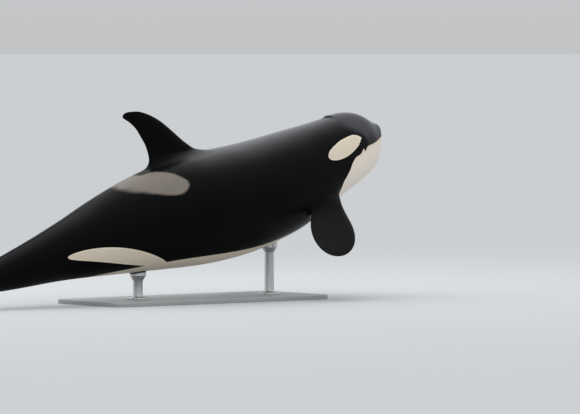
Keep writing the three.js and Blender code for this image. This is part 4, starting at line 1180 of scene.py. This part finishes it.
def standPiece(name, parts, materials, replaced):
    # one piece from closed parts, each (points, faces, number of its material)
    points, faces, kinds = [], [], []
    for shape, polygons, kind in parts:
        faces += [tuple(len(points) + v for v in polygon) for polygon in polygons]
        kinds += [kind] * len(polygons)
        points += [tuple(v) for v in shape]
    made = bpy.data.meshes.new(name)
    made.from_pydata(points, [], faces)
    for material in materials:
        made.materials.append(material)
    made.polygons.foreach_set("material_index", kinds)
    made.polygons.foreach_set("use_smooth", [True] * len(faces))
    made.validate()
    made.set_sharp_from_angle(angle=math.radians(35))
    piece = bpy.data.objects.new(name, made)
    bpy.context.scene.collection.objects.link(piece)
    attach(piece, "root")
    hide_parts(replaced)


def ringFaces(rings, steps):
    # quads between rings of points, and a face over either end
    faces = []
    for i in range(rings - 1):
        for j in range(steps):
            a, b = i * steps + j, i * steps + (j + 1) % steps
            faces.append((a, b, b + steps, a + steps))
    return faces + [tuple(range(steps))[::-1], tuple((rings - 1) * steps + j for j in range(steps))]


def lathe(x, y, profile, steps, turnBy=0.0):
    turn = np.arange(steps) / steps * 2 * math.pi + turnBy
    return [(x + r * math.cos(a), y + r * math.sin(a), z) for r, z in profile for a in turn]


# base: inset from the rim and height, with rounded edges and a fine groove along the rim
baseLow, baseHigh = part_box("stand_base")
top, edge = baseHigh.z, stand["edge"]
baseProfile = [(0.003, 0.0), (0.0, 0.003)]
for a in np.linspace(0, math.pi / 2, 7):
    baseProfile.append((edge * (1 - math.cos(a)), top - edge * (1 - math.sin(a))))
baseProfile += [(0.034, top), (0.0345, top - 0.0012), (0.037, top - 0.0012), (0.0375, top), (0.06, top)]
outline = []
for inset, height in baseProfile:
    reach = stand["corner"] - inset
    for corner, (sx, sy) in enumerate(((1, 1), (-1, 1), (-1, -1), (1, -1))):
        x = (baseHigh.x if sx > 0 else baseLow.x) - sx * stand["corner"]
        y = (baseHigh.y if sy > 0 else baseLow.y) - sy * stand["corner"]
        for k in range(stand["cornerSteps"] + 1):
            a = (corner + k / stand["cornerSteps"]) * math.pi / 2
            outline.append((x + reach * math.cos(a), y + reach * math.sin(a), height))
baseFaces = ringFaces(len(baseProfile), 4 * (stand["cornerSteps"] + 1))
standPiece("standPlate", [(outline, baseFaces, 0)], [plateMaterial], "stand_base")

for end in ("front", "rear"):
    low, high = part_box("stand_rod_" + end)
    x, y, foot = (low.x + high.x) / 2, 0.0, low.z
    r, pad, steps = stand["rod"], stand["pad"], stand["rodSteps"]
    turn = np.arange(steps) / steps * 2 * math.pi
    # height of the belly over the rim of the cushion
    rim = np.stack([x + pad * np.cos(turn), y + pad * np.sin(turn), np.full(steps, high.z)], -1)
    for _ in range(8):
        s, angle, off = skinDistance(rim)
        rim[:, 2] += off - unevenAt(s, rim) + stand["clear"]
    neck = rim[:, 2].min() - stand["neck"]
    collarTop = foot + stand["collarHeight"]
    profile = [
        (0.110, foot), (0.110, foot + 0.012), (0.1085, foot + 0.0155), (0.106, foot + 0.018),
        (0.102, collarTop), (r + 0.012, collarTop), (r + 0.006, foot + 0.0225),
        (r + 0.002, foot + 0.027), (r, foot + 0.033),
        (r, neck), (r + 0.002, neck + 0.004), (r + 0.010, neck + 0.014), (pad - 0.006, neck + 0.046),
        (pad, neck + 0.052),
    ]
    head = []            # the steel's rim, then the cushion's foot, side and rim
    thick = stand["cushion"]
    for inset, drop in ((0.0, thick + 0.002), (0.001, thick), (0.001, 0.004), (0.0, 0.0)):
        reach = pad - inset
        head.append([
            (x + reach * math.cos(a), y + reach * math.sin(a), h - drop) for a, h in zip(turn, rim[:, 2])])
    parts = [(lathe(x, y, profile, steps) + head[0], ringFaces(len(profile) + 1, steps), 0)]
    parts.append((head[1] + head[2] + head[3], ringFaces(3, steps), 1))
    washer = [(0.0125, collarTop - 0.001), (0.0125, collarTop + 0.0014), (0.0118, collarTop + 0.002)]
    nut = [(0.0095, collarTop + 0.001), (0.0095, collarTop + 0.0075), (0.0080, collarTop + 0.009)]
    for k in range(stand["bolts"]):
        a = (k + 0.5) / stand["bolts"] * 2 * math.pi
        bx, by = x + stand["boltCircle"] * math.cos(a), y + stand["boltCircle"] * math.sin(a)
        parts.append((lathe(bx, by, washer, 24), ringFaces(3, 24), 0))
        parts.append((lathe(bx, by, nut, 6, a), ringFaces(3, 6), 0))
    standPiece("standRod" + end.capitalize(), parts, [steelMaterial, rubberMaterial],
               "stand_rod_" + end)
print("stand built")

# floor
floorLook = {"colour": (0.52, 0.53, 0.54), "paler": 1.03, "size": 9000.0}
bpy.ops.mesh.primitive_plane_add(size=floorLook["size"], location=(0, 0, -0.001))
floor = bpy.context.active_object
floor.name = "floor"
floorTones = floorLook["colour"], tuple(c * floorLook["paler"] for c in floorLook["colour"])
floorConstants = {"Roughness": 0.9, "Specular IOR Level": 0.1}
floor.data.materials.append(tonedMaterial("paleFloor", floorTones, (0.4, 3), floorConstants)[0])

# even studio light from all sides, brighter from above, and one wide lamp
studio = {"low": 0.56, "overhead": 1.45, "tint": (0.97, 0.985, 1.0), "lampPower": 250.0}
world = bpy.data.worlds.new("studio")
bpy.context.scene.world = world
world.use_nodes = True
nodes, links = world.node_tree.nodes, world.node_tree.links
split = nodes.new("ShaderNodeSeparateXYZ")
links.new(nodes.new("ShaderNodeTexCoord").outputs["Generated"], split.inputs[0])
nodes["Background"].inputs[0].default_value = (*studio["tint"], 1)
brightness = mapped(nodes, links, split.outputs[2], in_3=studio["low"], in_4=studio["overhead"])
links.new(brightness, nodes["Background"].inputs[1])


def softLight(name, at, aim, size, power):
    data = bpy.data.lights.new(name, "AREA")
    data.shape = "RECTANGLE"
    data.size, data.size_y = size
    data.energy = power
    light = bpy.data.objects.new(name, data)
    light.location = at
    light.rotation_euler = (Vector(aim) - Vector(at)).to_track_quat("-Z", "Y").to_euler()
    bpy.context.scene.collection.objects.link(light)


softLight("topLight", (0.5, 3.0, 7.5), (0, 0, 1), (11.0, 7.0), studio["lampPower"])
print("floor and light set")

# camera
view = {
    "lens": 300.0, "sensor": 36,
    "down": 1.837,           # degrees
    "heading": (0.629, 0.777),
    "distance": 50.13,       # to the snout
    "snoutPixel": (381.7, 137.1),
    "image": (580, 414),
    "furthest": 20000,
}
down = math.radians(view["down"])
fx, fy = view["heading"]
size = math.hypot(fx, fy)
fx, fy = fx / size, fy / size
forward = Vector((fx * math.cos(down), fy * math.cos(down), -math.sin(down)))
right = Vector((fy, -fx, 0))
up = right.cross(forward)
focal = view["lens"] / view["sensor"] * view["image"][0]
dx = (view["snoutPixel"][0] - view["image"][0] / 2) / focal * view["distance"]
dy = (view["image"][1] / 2 - view["snoutPixel"][1]) / focal * view["distance"]
snout = Vector((originX, 0, orca["snoutHeight"]))
cameraData = bpy.data.cameras.new("camera")
cameraData.lens = view["lens"]
cameraData.sensor_width = view["sensor"]
cameraData.sensor_fit = "HORIZONTAL"
cameraData.clip_end = view["furthest"]
camera = bpy.data.objects.new("camera", cameraData)
cameraAt = snout - forward * view["distance"] - right * dx - up * dy
camera.matrix_world = Matrix.Translation(cameraAt) @ Matrix((right, up, -forward)).transposed().to_4x4()
bpy.context.scene.collection.objects.link(camera)
bpy.context.scene.camera = camera
bpy.context.scene.view_settings.view_transform = "Standard"
print("camera at", tuple(round(v, 2) for v in camera.location))
